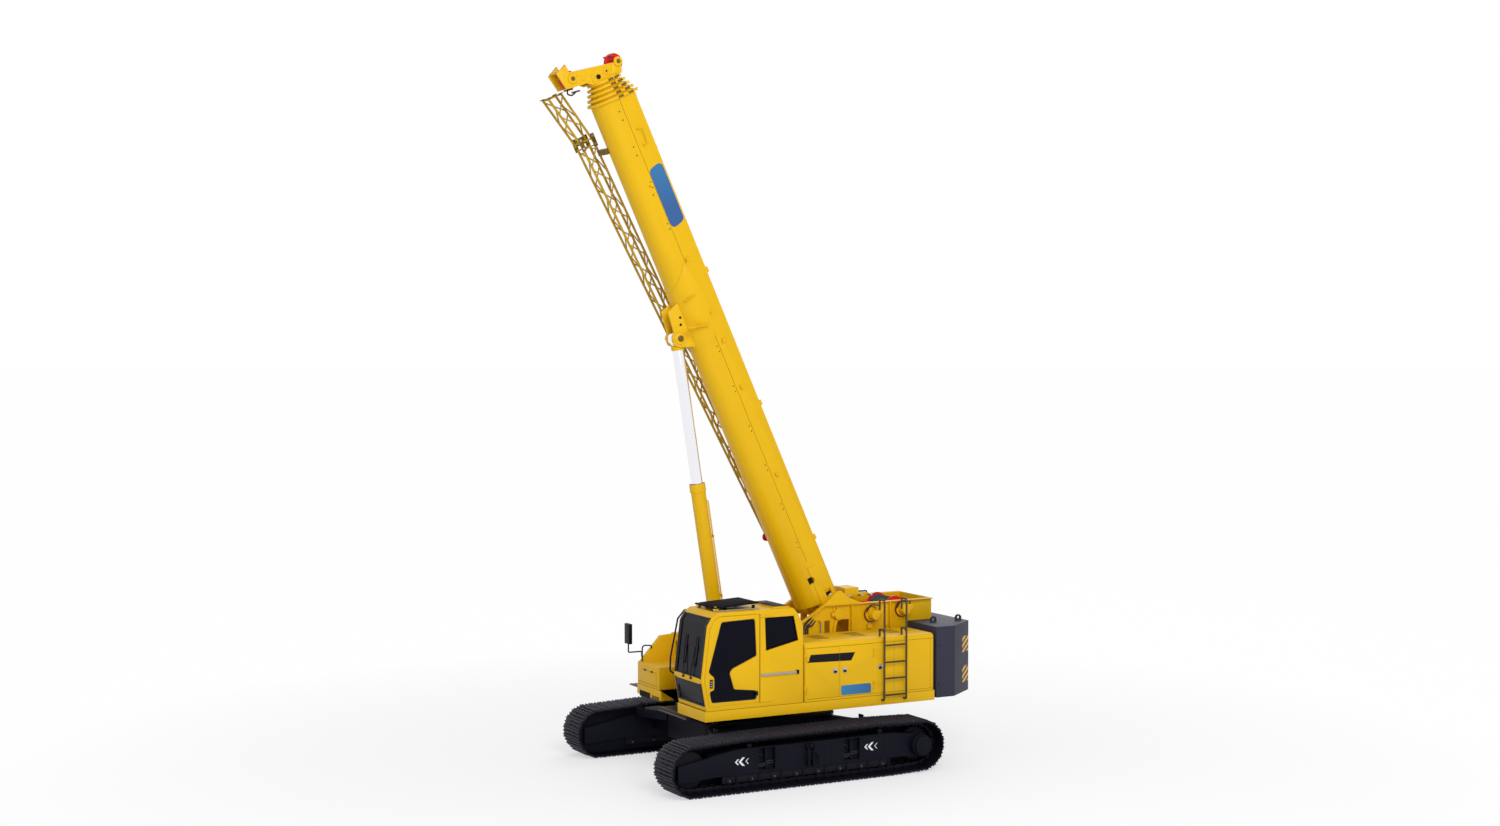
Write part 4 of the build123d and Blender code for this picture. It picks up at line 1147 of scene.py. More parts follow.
@dataclass
class Deck:
    """The slewing platform, its skirts, and the steps in front and at the right."""

    seam: float = 0.006
    stud: float = 0.030

    def build(self) -> None:
        """Builds the deck and the steps."""
        form = Form()
        softened(form, "deck", self.paint, 0.006)
        low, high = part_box("deck")
        # Painted shade: thin dark strips along the deck's top edges for the gap under the housings.
        for x0, x1, y in ((low.x, -0.2, high.y), (-0.165, high.x - 0.02, high.y), (low.x, 1.38, low.y)):
            form.box((x0, y - 0.001, high.z - self.seam), (x1, y + math.copysign(0.001, y), high.z), SEAM_AND_DIMPLE_SHADE, 0.0)
        for k in range(12):
            x = low.x + 0.15 + k * 0.36
            form.bolt((x, high.y, low.z + 0.085), (0, 1, 0), 0.009, BODY)
            form.bolt((min(x, 1.3), low.y, low.z + 0.085), (0, -1, 0), 0.009, BODY)
        # Painted shadow: a dark sheet for the recess at the right front corner.
        form.box((1.384, -1.371, low.z + 0.02), (1.387, -0.968, low.z + 0.12), SHADOW, 0.0)
        form.box((1.384, -0.90, low.z + 0.03), (1.388, -0.62, low.z + 0.10), BODY_DARK, 0.001)
        for x in (1.40, 1.46):
            form.rod((x, high.y, low.z + 0.03), (x, high.y + 0.02, low.z + 0.03), 0.016, BLACK, 16)
        form.piece("deck_shell", SUPER, ("deck",))
        self.steps()

    def paint(self, normal: Vector, centre: Vector) -> Finish:
        """Dark below, body paint elsewhere."""
        low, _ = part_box("deck")
        return NAVY if normal.z < -0.5 or centre.z < low.z + 0.04 else BODY

    def steps(self) -> None:
        """Both steps, with rings punched up through their treads."""
        form = Form()
        softened(form, "step_plate", STEP, 0.003)
        for x0, x1, y0, y1, z in ((1.19, 1.48, -0.40, 0.58, 0.985), (1.09, 1.25, -2.0, -1.52, 1.112)):
            across, along = round((x1 - x0) / 0.072), round((y1 - y0) / 0.072)
            for i in range(across + 1):
                for j in range(along + 1):
                    at = (x0 + (x1 - x0) * i / across, y0 + (y1 - y0) * j / along, z - 0.001)
                    form.ring(at, (0, 0, 1), 0.007, self.stud / 2, self.stud / 3.2, STEP, 10)
        form.box((1.15, -0.43, 0.93), (1.162, 0.60, 0.992), STEP, 0.002)
        form.box((1.488, -0.43, 0.93), (1.50, 0.60, 0.992), STEP, 0.002)
        form.piece("step_tread", SUPER, ("step_plate",))


@dataclass
class Housing:
    """The left housing with its doors, and the right housing with the sloped module."""

    face: float = 1.475
    seam: float = 0.005
    front_joint: float = -0.857
    rear_joint: float = -0.863
    band: Outline = ((-0.251, 1.848), (-0.316, 1.973), (-1.150, 1.960), (-1.077, 1.827))
    sheet: tuple[float, float, float, float] = (-1.455, -0.884, 1.27, 1.43)

    def build(self) -> None:
        """Builds both housings and the doors."""
        self.left()
        self.door("service_door_front", -0.770, self.front_joint, 9.0)
        self.door("service_door_rear", -0.950, -9.0, self.rear_joint)
        self.right()
        self.engine()

    def left(self) -> None:
        """The left shell with its fixed panel and latch, its seams and vent slots in painted shade, and dark lines of
        painted shadow round the doors.
        """
        form = Form()
        softened(form, "hood_left", BODY, 0.006)
        low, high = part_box("hood_left")
        y = self.face
        # Painted shade in the gaps of the panel seams.
        for x0, x1, z0, z1 in ((-1.5, low.x + 0.01, 1.248, 1.253), (-1.902, -1.898, 1.253, 2.08),
                               (-1.5, low.x + 0.01, 2.080, 2.085), (-0.207, -0.201, 1.22, 2.10),
                               (-2.612, -2.608, 1.253, 2.08)):
            form.box((x0, y - 0.001, z0), (x1, y + 0.0008, z1), SEAM_AND_DIMPLE_SHADE, 0.0)
        self.lock(form, -1.628, 1.686)
        # Painted shadow: a dark patch low on the front end, for a recess.
        form.box((-0.205, y - 0.20, 1.23), (-0.196, y - 0.12, 1.29), SHADOW, 0.0)
        # Raised vent panels on the roof, their slots strips of painted shadow.
        for x in (-0.7, -1.4, -2.1):
            form.box((x - 0.16, 0.80, high.z - 0.001), (x + 0.16, 1.28, high.z + 0.006), BODY, 0.004)
            for k in range(6):
                form.box((x - 0.13, 0.85 + 0.07 * k, high.z + 0.0055), (x + 0.13, 0.875 + 0.07 * k, high.z + 0.0075),
                         SHADOW, 0.0)
        # Painted shadow: dark strips set in behind the face, seen through the gaps round the doors.
        for x in (-0.243, -0.860, -1.497):
            form.box((x - 0.014, y - 0.050, 1.256), (x + 0.014, y - 0.038, 2.074), SHADOW, 0.0)
        for z in (1.253, 2.077):
            form.box((-1.49, y - 0.050, z - 0.012), (-0.25, y - 0.038, z + 0.012), SHADOW, 0.0)
        form.piece("left_housing", SUPER, ("hood_left",))

    def door(self, node: str, latch_x: float, low_x: float, high_x: float) -> None:
        """A service door with its latch, its share of the dark band and of the sheet."""
        form = Form()

        def paint(normal: Vector, centre: Vector) -> Finish:
            """Bright metal on the latch's plate."""
            return SILVER if centre.y > self.face + 0.001 and abs(centre.z - 1.685) < 0.06 else BODY

        softened(form, node, paint, 0.003)
        form.box((latch_x - 0.030, self.face + 0.0135, 1.648), (latch_x + 0.030, self.face + 0.0165, 1.686), BLACK,
                 0.001)
        form.box((latch_x - 0.022, self.face + 0.0135, 1.692), (latch_x + 0.022, self.face + 0.0158, 1.722), SILVER,
                 0.001)
        self.slab(form, self.band, self.face, low_x, high_x, BLACK)
        self.slab(form, self.rounded_sheet(), self.face, low_x if low_x > -5 else -1.494, high_x, SHEET)
        form.piece(f"{node}_leaf", node, (node,))

    def lock(self, form: Form, x: float, z: float) -> None:
        """A pull latch: a bright plate with a dark grip."""
        y = self.face
        form.box((x - 0.035, y - 0.001, z - 0.045), (x + 0.035, y + 0.013, z + 0.045), SILVER, 0.003)
        form.box((x - 0.030, y + 0.0125, z - 0.038), (x + 0.030, y + 0.0160, z), BLACK, 0.001)

    def slab(self, form: Form, outline: Outline, y: float, low_x: float, high_x: float, finish: Finish) -> None:
        """A thin sheet on the side, cut off between two X planes."""
        kept = clipped(clipped(list(outline), low_x, 1.0), high_x, -1.0)
        if len(kept) > 2:
            form.prism(kept, y - 0.001, y + 0.0012, finish, "y", 0.0)

    def rounded_sheet(self) -> Outline:
        """The blank sheet's outline, with rounded corners."""
        x0, x1, z0, z1 = self.sheet
        return round_corners(((x0, z0), (x1, z0), (x1, z1), (x0, z1)), 0.035)

    def right(self) -> None:
        """The right shell with vents and seams drawn as strips of painted shade, a grab rail and a filler lid."""
        form = Form()
        softened(form, "hood_right", BODY, 0.012)
        low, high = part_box("hood_right")
        front = high.x
        # Painted shadow: dark strips for the front vent's slots.
        for k in range(5):
            y = -1.29 + k * 0.0285
            form.box((0.739, y - 0.008, 1.665), (0.7415, y + 0.008, 1.92), SHADOW, 0.0)
        # Painted shade in the front panel seams.
        for y0, z0, y1, z1 in ((-1.32, 1.479, -0.756, 1.485), (-1.45, 1.262, -0.66, 1.268),
                               (-0.757, 1.265, -0.751, 1.482)):
            form.box((front - 0.001, y0, z0), (front + 0.001, y1, z1), SEAM_AND_DIMPLE_SHADE, 0.0)
        for y in (-1.18, -0.92):
            form.box((front - 0.001, y - 0.03, 1.468), (front + 0.012, y + 0.03, 1.497), BLACK, 0.003)
        form.pipe(((1.324, -1.40, 1.58), (1.324, -1.40, 1.828), (1.29, -1.40, 1.861), (1.153, -1.40, 1.851),
                   (1.153, -1.40, 1.80)), 0.012, 0.03, BLACK)
        # Painted shade in the side seams, and louvre slots as strips of painted shadow.
        for x in (0.30, -0.45, -1.20, -1.95):
            form.box((x - 0.0025, low.y - 0.0008, 1.26), (x + 0.0025, low.y + 0.001, 2.0), SEAM_AND_DIMPLE_SHADE, 0.0)
            for k in range(7):
                form.box((x - 0.5, low.y - 0.002, 1.50 + 0.05 * k), (x - 0.2, low.y + 0.001, 1.52 + 0.05 * k), SHADOW,
                         0.0)
        # Painted shade along the lower side seam.
        form.box((low.x + 0.02, low.y - 0.0008, 1.252), (1.35, low.y + 0.001, 1.257), SEAM_AND_DIMPLE_SHADE, 0.0)
        for x in (0.25, -0.5, -1.25):
            form.box((x, -1.30, high.z - 0.001), (x + 0.5, -0.85, high.z + 0.008), BODY, 0.005)
        form.turned((-0.95, -1.05, high.z), (0, 0, 1), ((0.0, 0.075), (0.06, 0.075), (0.07, 0.085), (0.12, 0.085),
                                                       (0.13, 0.07)), BLACK, 28)
        form.piece("right_housing", SUPER, ("hood_right",))

    def engine(self) -> None:
        """The engine block behind the right housing's wall."""
        form = Form()
        softened(form, "power_unit", BLACK, 0.02)
        form.piece("engine_block", SUPER, ("power_unit",))


@dataclass
class Cab:
    """The driver's cab: shell, door, glass, rails and roof panel."""

    side: float = 1.475
    inner: float = 0.5
    gasket: float = 0.016
    corner: float = 0.05
    front: Outline = ((1.575, 1.215), (1.665, 1.710), (1.560, 2.560), (1.480, 2.685), (1.370, 2.755))

    def build(self) -> None:
        """Builds the cab."""
        self.shell()
        self.door()
        self.panes()
        self.wipers()
        self.roof()
        self.seat()
        self.rails()

    def line_x(self, z: float) -> float:
        """The cab's front line at a height."""
        for (x0, z0), (x1, z1) in zip(self.front, self.front[1:]):
            if z0 <= z <= z1:
                return x0 + (x1 - x0) * (z - z0) / (z1 - z0)
        return self.front[0][0]

    def shell(self) -> None:
        """The hollow shell, its rail for the sliding door and the dark trim under the windscreen."""
        form = Form()
        softened(form, "cab_shell", BODY, 0.012)
        y = self.side
        # low X, how far in, low Z, high X, how far out, high Z, finish, rounding
        for x0, inner, z0, x1, outer, z1, finish, edge in (
                (-0.05, -0.001, 1.706, 0.60, 0.020, 1.738, RAIL, 0.004),
                (-0.05, 0.018, 1.700, 0.60, 0.026, 1.712, RAIL, 0.002),
                (-0.085, -0.001, 1.690, -0.045, 0.030, 1.752, BLACK, 0.004),
                # the last row is a strip of painted shade in the door's gap
                (0.615, -0.04, 1.28, 0.622, 0.001, 2.69, SEAM_AND_DIMPLE_SHADE, 0.0)):
            form.box((x0, y + inner, z0), (x1, y + outer, z1), finish, edge)
        for z in (1.30, 2.66):
            form.box((0.40, y - 0.001, z - 0.018), (0.62, y + 0.012, z + 0.012), BODY, 0.004)
        low_z, high_z = 1.53, 1.64
        panel = ((self.line_x(low_z) - 0.004, low_z), (self.line_x(low_z) + 0.004, low_z),
                 (self.line_x(high_z) + 0.004, high_z), (self.line_x(high_z) - 0.004, high_z))
        form.prism(panel, self.inner + 0.07, y - 0.07, TRIM, "y", 0.001)
        for low, high in ((1.74, 2.665), (1.30, 1.64)):
            self.rim(form, low, high)
            heights = [low - 0.012] + [z for _, z in self.front if low < z < high] + [high + 0.02]
            strip = [(self.line_x(z) - 0.010, z) for z in heights]
            strip += [(self.line_x(z) + 0.002, z) for z in reversed(heights)]
            form.prism(strip, self.inner + 0.010, self.inner + 0.075, BLACK, "y", 0.001)
            form.prism(strip, y - 0.075, y - 0.026, BLACK, "y", 0.001)
        for x in (0.05, 0.45, 0.85, 1.25):
            form.bolt((x, y, 1.245), (0, 1, 0), 0.010, BODY)
        form.piece("cab_body", SUPER, ("cab_shell",))

    def rim(self, form: Form, low: float, high: float) -> None:
        """A dark rim that follows the cab's front line round a front opening."""
        y0, y1 = self.inner + 0.07, self.side - 0.07
        heights = [low] + [z for _, z in self.front if low < z < high] + [high]
        for y in (y0, y1):
            strip = [(self.line_x(z) - 0.014, z) for z in heights]
            strip += [(self.line_x(z) + 0.001, z) for z in reversed(heights)]
            form.prism(strip, y - 0.022, y + 0.022, BLACK, "y", 0.002)
        for z in (low, high):
            x = self.line_x(z)
            form.box((x - 0.020, y0, z - 0.016), (x + 0.001, y1, z + 0.016), BLACK, 0.003)

    def door(self) -> None:
        """The sliding door with rounded window corners, a lock and a handle."""
        form = Form()
        softened(form, "cab_door", BODY, 0.005)
        y = self.side
        for loop in self.pane_loops(y):
            self.surround(form, loop)
        form.box((1.462, y - 0.030, 1.575), (1.52, y + 0.004, 1.715), BLACK, 0.006)
        for k in range(3):
            form.box((1.472, y + 0.0035, 1.60 + 0.036 * k), (1.510, y + 0.0055, 1.612 + 0.036 * k), SILVER, 0.0)
        form.box((0.66, y - 0.001, 1.40), (0.70, y + 0.016, 1.47), BLACK, 0.004)
        form.piece("cab_door_leaf", SUPER, ("cab_door",))

    def pane_loops(self, side: float) -> list[list[tuple[float, float]]]:
        """Outlines of the panes near the outer side, in X and Z."""
        return node_loops("cab_glass", 1, side - 0.025)

    def surround(self, form: Form, loop: Outline) -> None:
        """Painted corner fillers and a rubber gasket round one side pane."""
        y = self.side
        ring_plate(form, loop, 0.004, self.corner, y - 0.040, y - 0.0005, BODY)
        ring_plate(form, loop, self.gasket, self.corner, y - 0.024, y - 0.012, RUBBER)

    def panes(self) -> None:
        """Tinted panes with the gaskets of the rear side and inner windows."""
        dress("cab_glass", GLASS)
        form = Form()
        loops = self.pane_loops(self.side)
        rear = min(loops, key=lambda loop: min(x for x, _ in loop))
        self.surround(form, rear)
        for loop in node_loops("cab_glass", 1, self.inner + 0.033):
            ring_plate(form, loop, 0.004, self.corner, self.inner + 0.001, self.inner + 0.04, BODY)
            ring_plate(form, loop, self.gasket, self.corner, self.inner + 0.010, self.inner + 0.024, RUBBER)
        form.piece("window_gaskets", SUPER, ())

    def wipers(self) -> None:
        """Two upright wipers that pivot in the band below the windscreen."""
        form = Form()
        for y, foot in ((0.80, 0.86), (1.18, 1.12)):
            top, pivot = 2.36, 1.705
            out = 0.020
            form.rod((self.line_x(pivot) - 0.01, foot, pivot), (self.line_x(pivot) + 0.028, foot, pivot), 0.018,
                     BLACK, 16)
            form.pipe(((self.line_x(pivot) + 0.022, foot, pivot), (self.line_x(1.86) + out, foot, 1.86),
                       (self.line_x(2.2) + out, y, 2.2)), 0.008, 0.05, BLACK, 8)
            form.pipe(((self.line_x(1.90) + 0.008, y, 1.90), (self.line_x(top) + 0.008, y, top)), 0.010, 0.01, BLACK, 8)
        form.piece("wipers", SUPER, ())

    def roof(self) -> None:
        """The roof guard with its rim, lamps at its front corners and the stay behind it."""
        form = Form()
        softened(form, "cab_roof_guard", MATT, 0.004)
        low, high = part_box("cab_roof_guard")
        for y in (low.y + 0.012, high.y - 0.012):
            form.box((low.x, y - 0.012, high.z - 0.02), (low.x + 0.02, y + 0.012, high.z), BLACK, 0.003)
        for y in (low.y + 0.05, high.y - 0.05):
            form.turned((high.x - 0.03, y, 2.795), (1, 0, 0.1), ((-0.06, 0.02), (-0.05, 0.036), (0.0, 0.040),
                                                              (0.012, 0.036)), BODY, 20)
            form.turned((high.x - 0.019, y, 2.796), (1, 0, 0.1), ((0.0, 0.032), (0.003, 0.028)), SILVER, 20)
            form.rod((high.x - 0.05, y, 2.755), (high.x - 0.05, y, 2.785), 0.008, BLACK, 10)
        form.rod((low.x + 0.02, 1.10, high.z - 0.03), (0.20, 1.10, 2.785), 0.007, BLACK, 8)
        form.box((0.56, 1.327, 2.762), (1.33, 1.345, 2.778), RAIL, 0.003)
        form.box((0.04, 0.63, 2.7795), (0.32, 1.365, 2.784), TRIM, 0.001)
        form.piece("roof_guard", SUPER, ("cab_roof_guard",))

    def seat(self) -> None:
        """The driver's seat and the pedal stand, seen darkly through the glass."""
        form = Form()
        softened(form, "cab_seat", RUBBER, 0.05, 50)
        form.piece("driver_seat", SUPER, ("cab_seat",))
        form = Form()
        softened(form, "cab_console", RUBBER, 0.01)
        form.turned((1.34, 1.0, 2.03), (-0.5, 0, 0.8), ((0.0, 0.17), (0.012, 0.19), (0.026, 0.19), (0.034, 0.17)),
                    RUBBER, 32)
        form.piece("pedal_stand", SUPER, ("cab_console",))

    def rails(self) -> None:
        """The grab rail and the mirror."""
        form = Form()
        softened(form, "handrails", BLACK, 0.0)
        form.box((1.556, self.inner - 0.012, 1.615), (1.59, self.inner - 0.001, 1.665), BLACK, 0.003)
        form.piece("grab_rail", SUPER, ("handrails",))
        form = Form()
        softened(form, "mirror", BLACK, 0.018, 60)
        low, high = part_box("mirror")
        form.prism(round_corners(((low.y + 0.018, 1.915), (-1.47, 1.915), (-1.47, high.z - 0.02),
                                  (low.y + 0.018, high.z - 0.02)), 0.02), 1.4885, 1.491, SILVER, "x", 0.0)
        form.piece("side_mirror", SUPER, ("mirror",))


@dataclass
class Turret:
    """Turret plates, winches, counterweight and ladder."""

    plate: float = 0.5
    chamfer: tuple[float, float] = (0.576, 0.430)
    eye_height: float = 0.105
    stripe_plate: tuple[float, float] = (0.155, 0.135)
    stripe_heights: tuple[float, float] = (1.375, 1.885)

    def build(self) -> None:
        """Builds what stands behind the cab."""
        self.plates()
        self.frame()
        self.weight()
        self.drums()
        self.drives()
        form = Form()
        softened(form, "ladder", LADDER, 0.0)
        for z in (1.213, 1.490, 1.757, 2.037):
            for k in range(12):
                x = -1.72 - k * 0.03
                form.ring((x, 1.55, z), (1, 0, 0), 0.008, 0.0165, 0.012, LADDER, 10)
        form.piece("ladder_rails", SUPER, ("ladder",))

    def plates(self) -> None:
        """The side plates with bolts, stiffeners, lugs, pin caps and hoses."""
        form = Form()
        softened(form, "turret_sides", BODY, 0.004)
        for way in (1.0, -1.0):
            y = way * self.plate
            out = Vector((0.0, way, 0.0))
            for x in (-1.15, -1.30, -1.60, -1.85, -2.10, -2.35, -2.60, -2.85, -3.10):
                form.bolt((x, way * 0.535, 2.603), (0, 0, -1), 0.010, BODY)
            form.prism(((-1.255, 2.06), (-1.295, 2.06), (-1.375, 2.35), (-1.335, 2.35)), y, way * 0.545, BODY, "y",
                       0.003)
            form.prism(((-1.305, 2.57), (-1.305, 2.43), (-1.33, 2.40), (-1.375, 2.40), (-1.40, 2.43), (-1.40, 2.57),
                        (-1.375, 2.57), (-1.375, 2.44), (-1.33, 2.44), (-1.33, 2.57)), y, way * 0.525, BODY, "y", 0.002)
            form.rod((-1.052, way * 0.545, 2.178), (-1.052, way * 0.545, 2.353), 0.014, SILVER, 16)
            form.box((-1.085, y, 2.34), (-1.02, way * 0.565, 2.365), BODY, 0.003)
            form.turned((-1.4, way * 0.54, 2.45), out, ((0.0, 0.098), (0.016, 0.098), (0.022, 0.09)), BODY, 36)
            form.bolt_circle((-1.4, way * 0.562, 2.45), out, 0.072, 6, 0.010, BODY)
            form.box((-1.30, y, 2.42), (-1.26, way * 0.556, 2.48), BODY, 0.003)
            form.prism(((-1.65, 1.30), (-1.63, 1.30), (-1.63, 2.10), (-1.65, 2.10)), y, way * 0.54, BODY, "y", 0.002)
            form.box((-2.04, y, 2.17), (-1.96, way * 0.56, 2.24), BODY, 0.004)
            form.rod((-2.0, way * 0.545, 2.24), (-2.0, way * 0.545, 2.28), 0.012, SILVER, 12)
            form.box((-2.36, y, 2.20), (-2.30, way * 0.54, 2.26), BODY, 0.004)
            for offset, size in ((0.0, 0.016), (0.045, 0.013), (0.085, 0.013)):
                form.pipe(((-0.72 - offset, way * 0.53, 1.95), (-0.72 - offset, way * 0.53, 2.28),
                           (-0.80 - offset, way * 0.53, 2.37 - offset), (-1.0 - offset, way * 0.44, 2.46)),
                          size, 0.09, RUBBER)
        form.piece("turret_plates", SUPER, ("turret_sides",))

    def frame(self) -> None:
        """The cross plates, the rope guard and the cylinder's foot lugs."""
        form = Form()
        softened(form, "turret_frame", BODY, 0.004)
        for way in (1.0, -1.0):
            form.turned((0.48, way * 0.208, 1.45), (0, way, 0), ((0.0, 0.066), (0.012, 0.066), (0.016, 0.06)), SILVER,
                        28)
            form.box((0.40, way * 0.178, 1.53), (0.56, way * 0.196, 1.55), BODY, 0.002)
        for y in (-0.12, -0.04, 0.04, 0.12):
            form.rod((-1.95, y, 2.735), (-1.95, y, 2.80), 0.010, SILVER, 10)
        for x in (-1.75, -2.0, -2.19):
            form.rod((x, -0.30, 2.707), (x, 0.30, 2.707), 0.018, SILVER, 14)
        form.pipe(((-2.18, 0.15, 2.72), (-2.18, 0.15, 2.76), (-1.80, 0.15, 2.76), (-1.80, 0.15, 2.72)), 0.012, 0.02,
                  BLACK)
        form.piece("turret_ties", SUPER, ("turret_frame",))

    def weight(self) -> None:
        """The counterweight with its joints drawn as lines of painted shade, tail lamps, warning plates and bolt heads.
        """
        form = Form()
        softened(form, "counterweight", WEIGHT, 0.010)
        low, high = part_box("counterweight")
        x0, y0, x1, y1 = low.x + self.chamfer[0], high.y, low.x, high.y - self.chamfer[1]
        top = high.z - self.eye_height
        half_width, half_height = self.stripe_plate
        for way in (1.0, -1.0):
            y = way * y0
            # Painted shade in the joint at the chamfer's corner.
            form.box((x0 - 0.002, y - way * 0.006, low.z + 0.01), (x0 + 0.003, y + way * 0.0008, top - 0.012),
                     WEIGHT_JOINT_SHADE, 0.0)
            normal = unit((-(y0 - y1), way * (x0 - x1), 0.0))
            for z in self.stripe_heights:
                at = Vector((x0 + (x1 - x0) * 0.777, way * (y0 + (y1 - y0) * 0.777), z))
                form.box((-half_width, -half_height, -0.001), (half_width, half_height, 0.001), HAZARD, 0.0,
                         turn_to(normal, at))
            for z in (1.30, 1.95):
                form.bolt((-2.80, y, z), (0, way, 0), 0.018, WEIGHT)
        # Painted shade in the joint across the back.
        form.box((x1 - 0.0008, -1.0, 1.665), (x1 + 0.004, 1.0, 1.671), WEIGHT_JOINT_SHADE, 0.0)
        for y in (-0.62, 0.62):
            form.box((x1 - 0.001, y - 0.10, 1.45), (x1 + 0.004, y + 0.10, 1.53), TAIL_RED, 0.0005)
        form.piece("counterweight_block", SUPER, ("counterweight",))

    def drums(self) -> None:
        """Red winch drums with rope wound between their flanges."""
        for name in ("winch_main", "winch_auxiliary"):
            node = f"{name}_drum"
            low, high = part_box(node)
            x, z = (low.x + high.x) / 2, (low.z + high.z) / 2
            flange = (high.x - low.x) / 2
            form = Form()
            softened(form, node, RED, 0.005, 60)
            start, end, pitch = -0.272, 0.272, 0.0165
            profile = [(0.0, flange * 0.60)]
            turns = int((end - start) / pitch)
            for k in range(turns):
                for part, bulge in ((0.08, 0.0), (0.30, 0.0058), (0.5, 0.0080), (0.70, 0.0058), (0.92, 0.0)):
                    profile.append(((k + part) * pitch, flange * 0.78 + bulge))
            profile.append((turns * pitch, flange * 0.60))
            form.turned((x, start, z), (0, 1, 0), profile, ROPE, 40)
            for way in (1.0, -1.0):
                for k in range(8):
                    a = 2 * math.pi * k / 8
                    at = (x + flange * 0.8 * math.cos(a), way * 0.3, z + flange * 0.8 * math.sin(a))
                    form.bolt(at, (0, way, 0), 0.010, RED)
            form.piece(f"{name}_wound", body_of(node), (node,))

    def drives(self) -> None:
        """Winch bearings with toothed red rings, gearboxes and motors."""
        form = Form()
        softened(form, "winch_drives", BODY, 0.006, 60)
        for x, z, motor_x, motor_z in ((-2.045, 2.41, -2.144, 2.463), (-2.66, 2.46, -2.748, 2.499)):
            outline = []
            for k in range(28):
                for turn, reach in ((0.0, 0.128), (0.3, 0.128), (0.42, 0.138), (0.88, 0.138)):
                    a = 2 * math.pi * (k + turn) / 28
                    outline.append((x + reach * math.cos(a), z + reach * math.sin(a)))
            form.prism(outline, 0.512, 0.532, DRUM_DARK_AND_HOLE_SHADE, "y", 0.002)
            form.bolt_circle((x, 0.54, z), (0, 1, 0), 0.100, 12, 0.008, BODY)
            form.turned((x, 0.53, z), (0, 1, 0), ((0.0, 0.085), (0.06, 0.085), (0.07, 0.072), (0.15, 0.070),
                                                  (0.158, 0.06)), BODY, 32)
            form.box((motor_x - 0.045, 0.56, motor_z - 0.05), (motor_x + 0.045, 0.67, motor_z + 0.05), BODY, 0.008)
            form.turned((motor_x, 0.66, motor_z), (0, 1, 0), ((0.0, 0.044), (0.014, 0.044), (0.02, 0.036)), BODY, 20)
            form.pipe(((motor_x, 0.64, motor_z + 0.04), (motor_x, 0.64, motor_z + 0.10),
                       (motor_x + 0.16, 0.60, motor_z + 0.12),
                       (motor_x + 0.20, 0.535, motor_z - 0.02)), 0.011, 0.05, RUBBER)
            form.turned((x, -0.50, z), (0, -1, 0), ((0.0, 0.10), (0.022, 0.10), (0.028, 0.09)), BODY, 32)
            form.bolt_circle((x, -0.528, z), (0, -1, 0), 0.078, 8, 0.009, BODY)
        form.piece("winch_motors", SUPER, ("winch_drives",))


# ---- boom ------------------------------------------------------------------------------------------
Station = tuple[float, float, float]


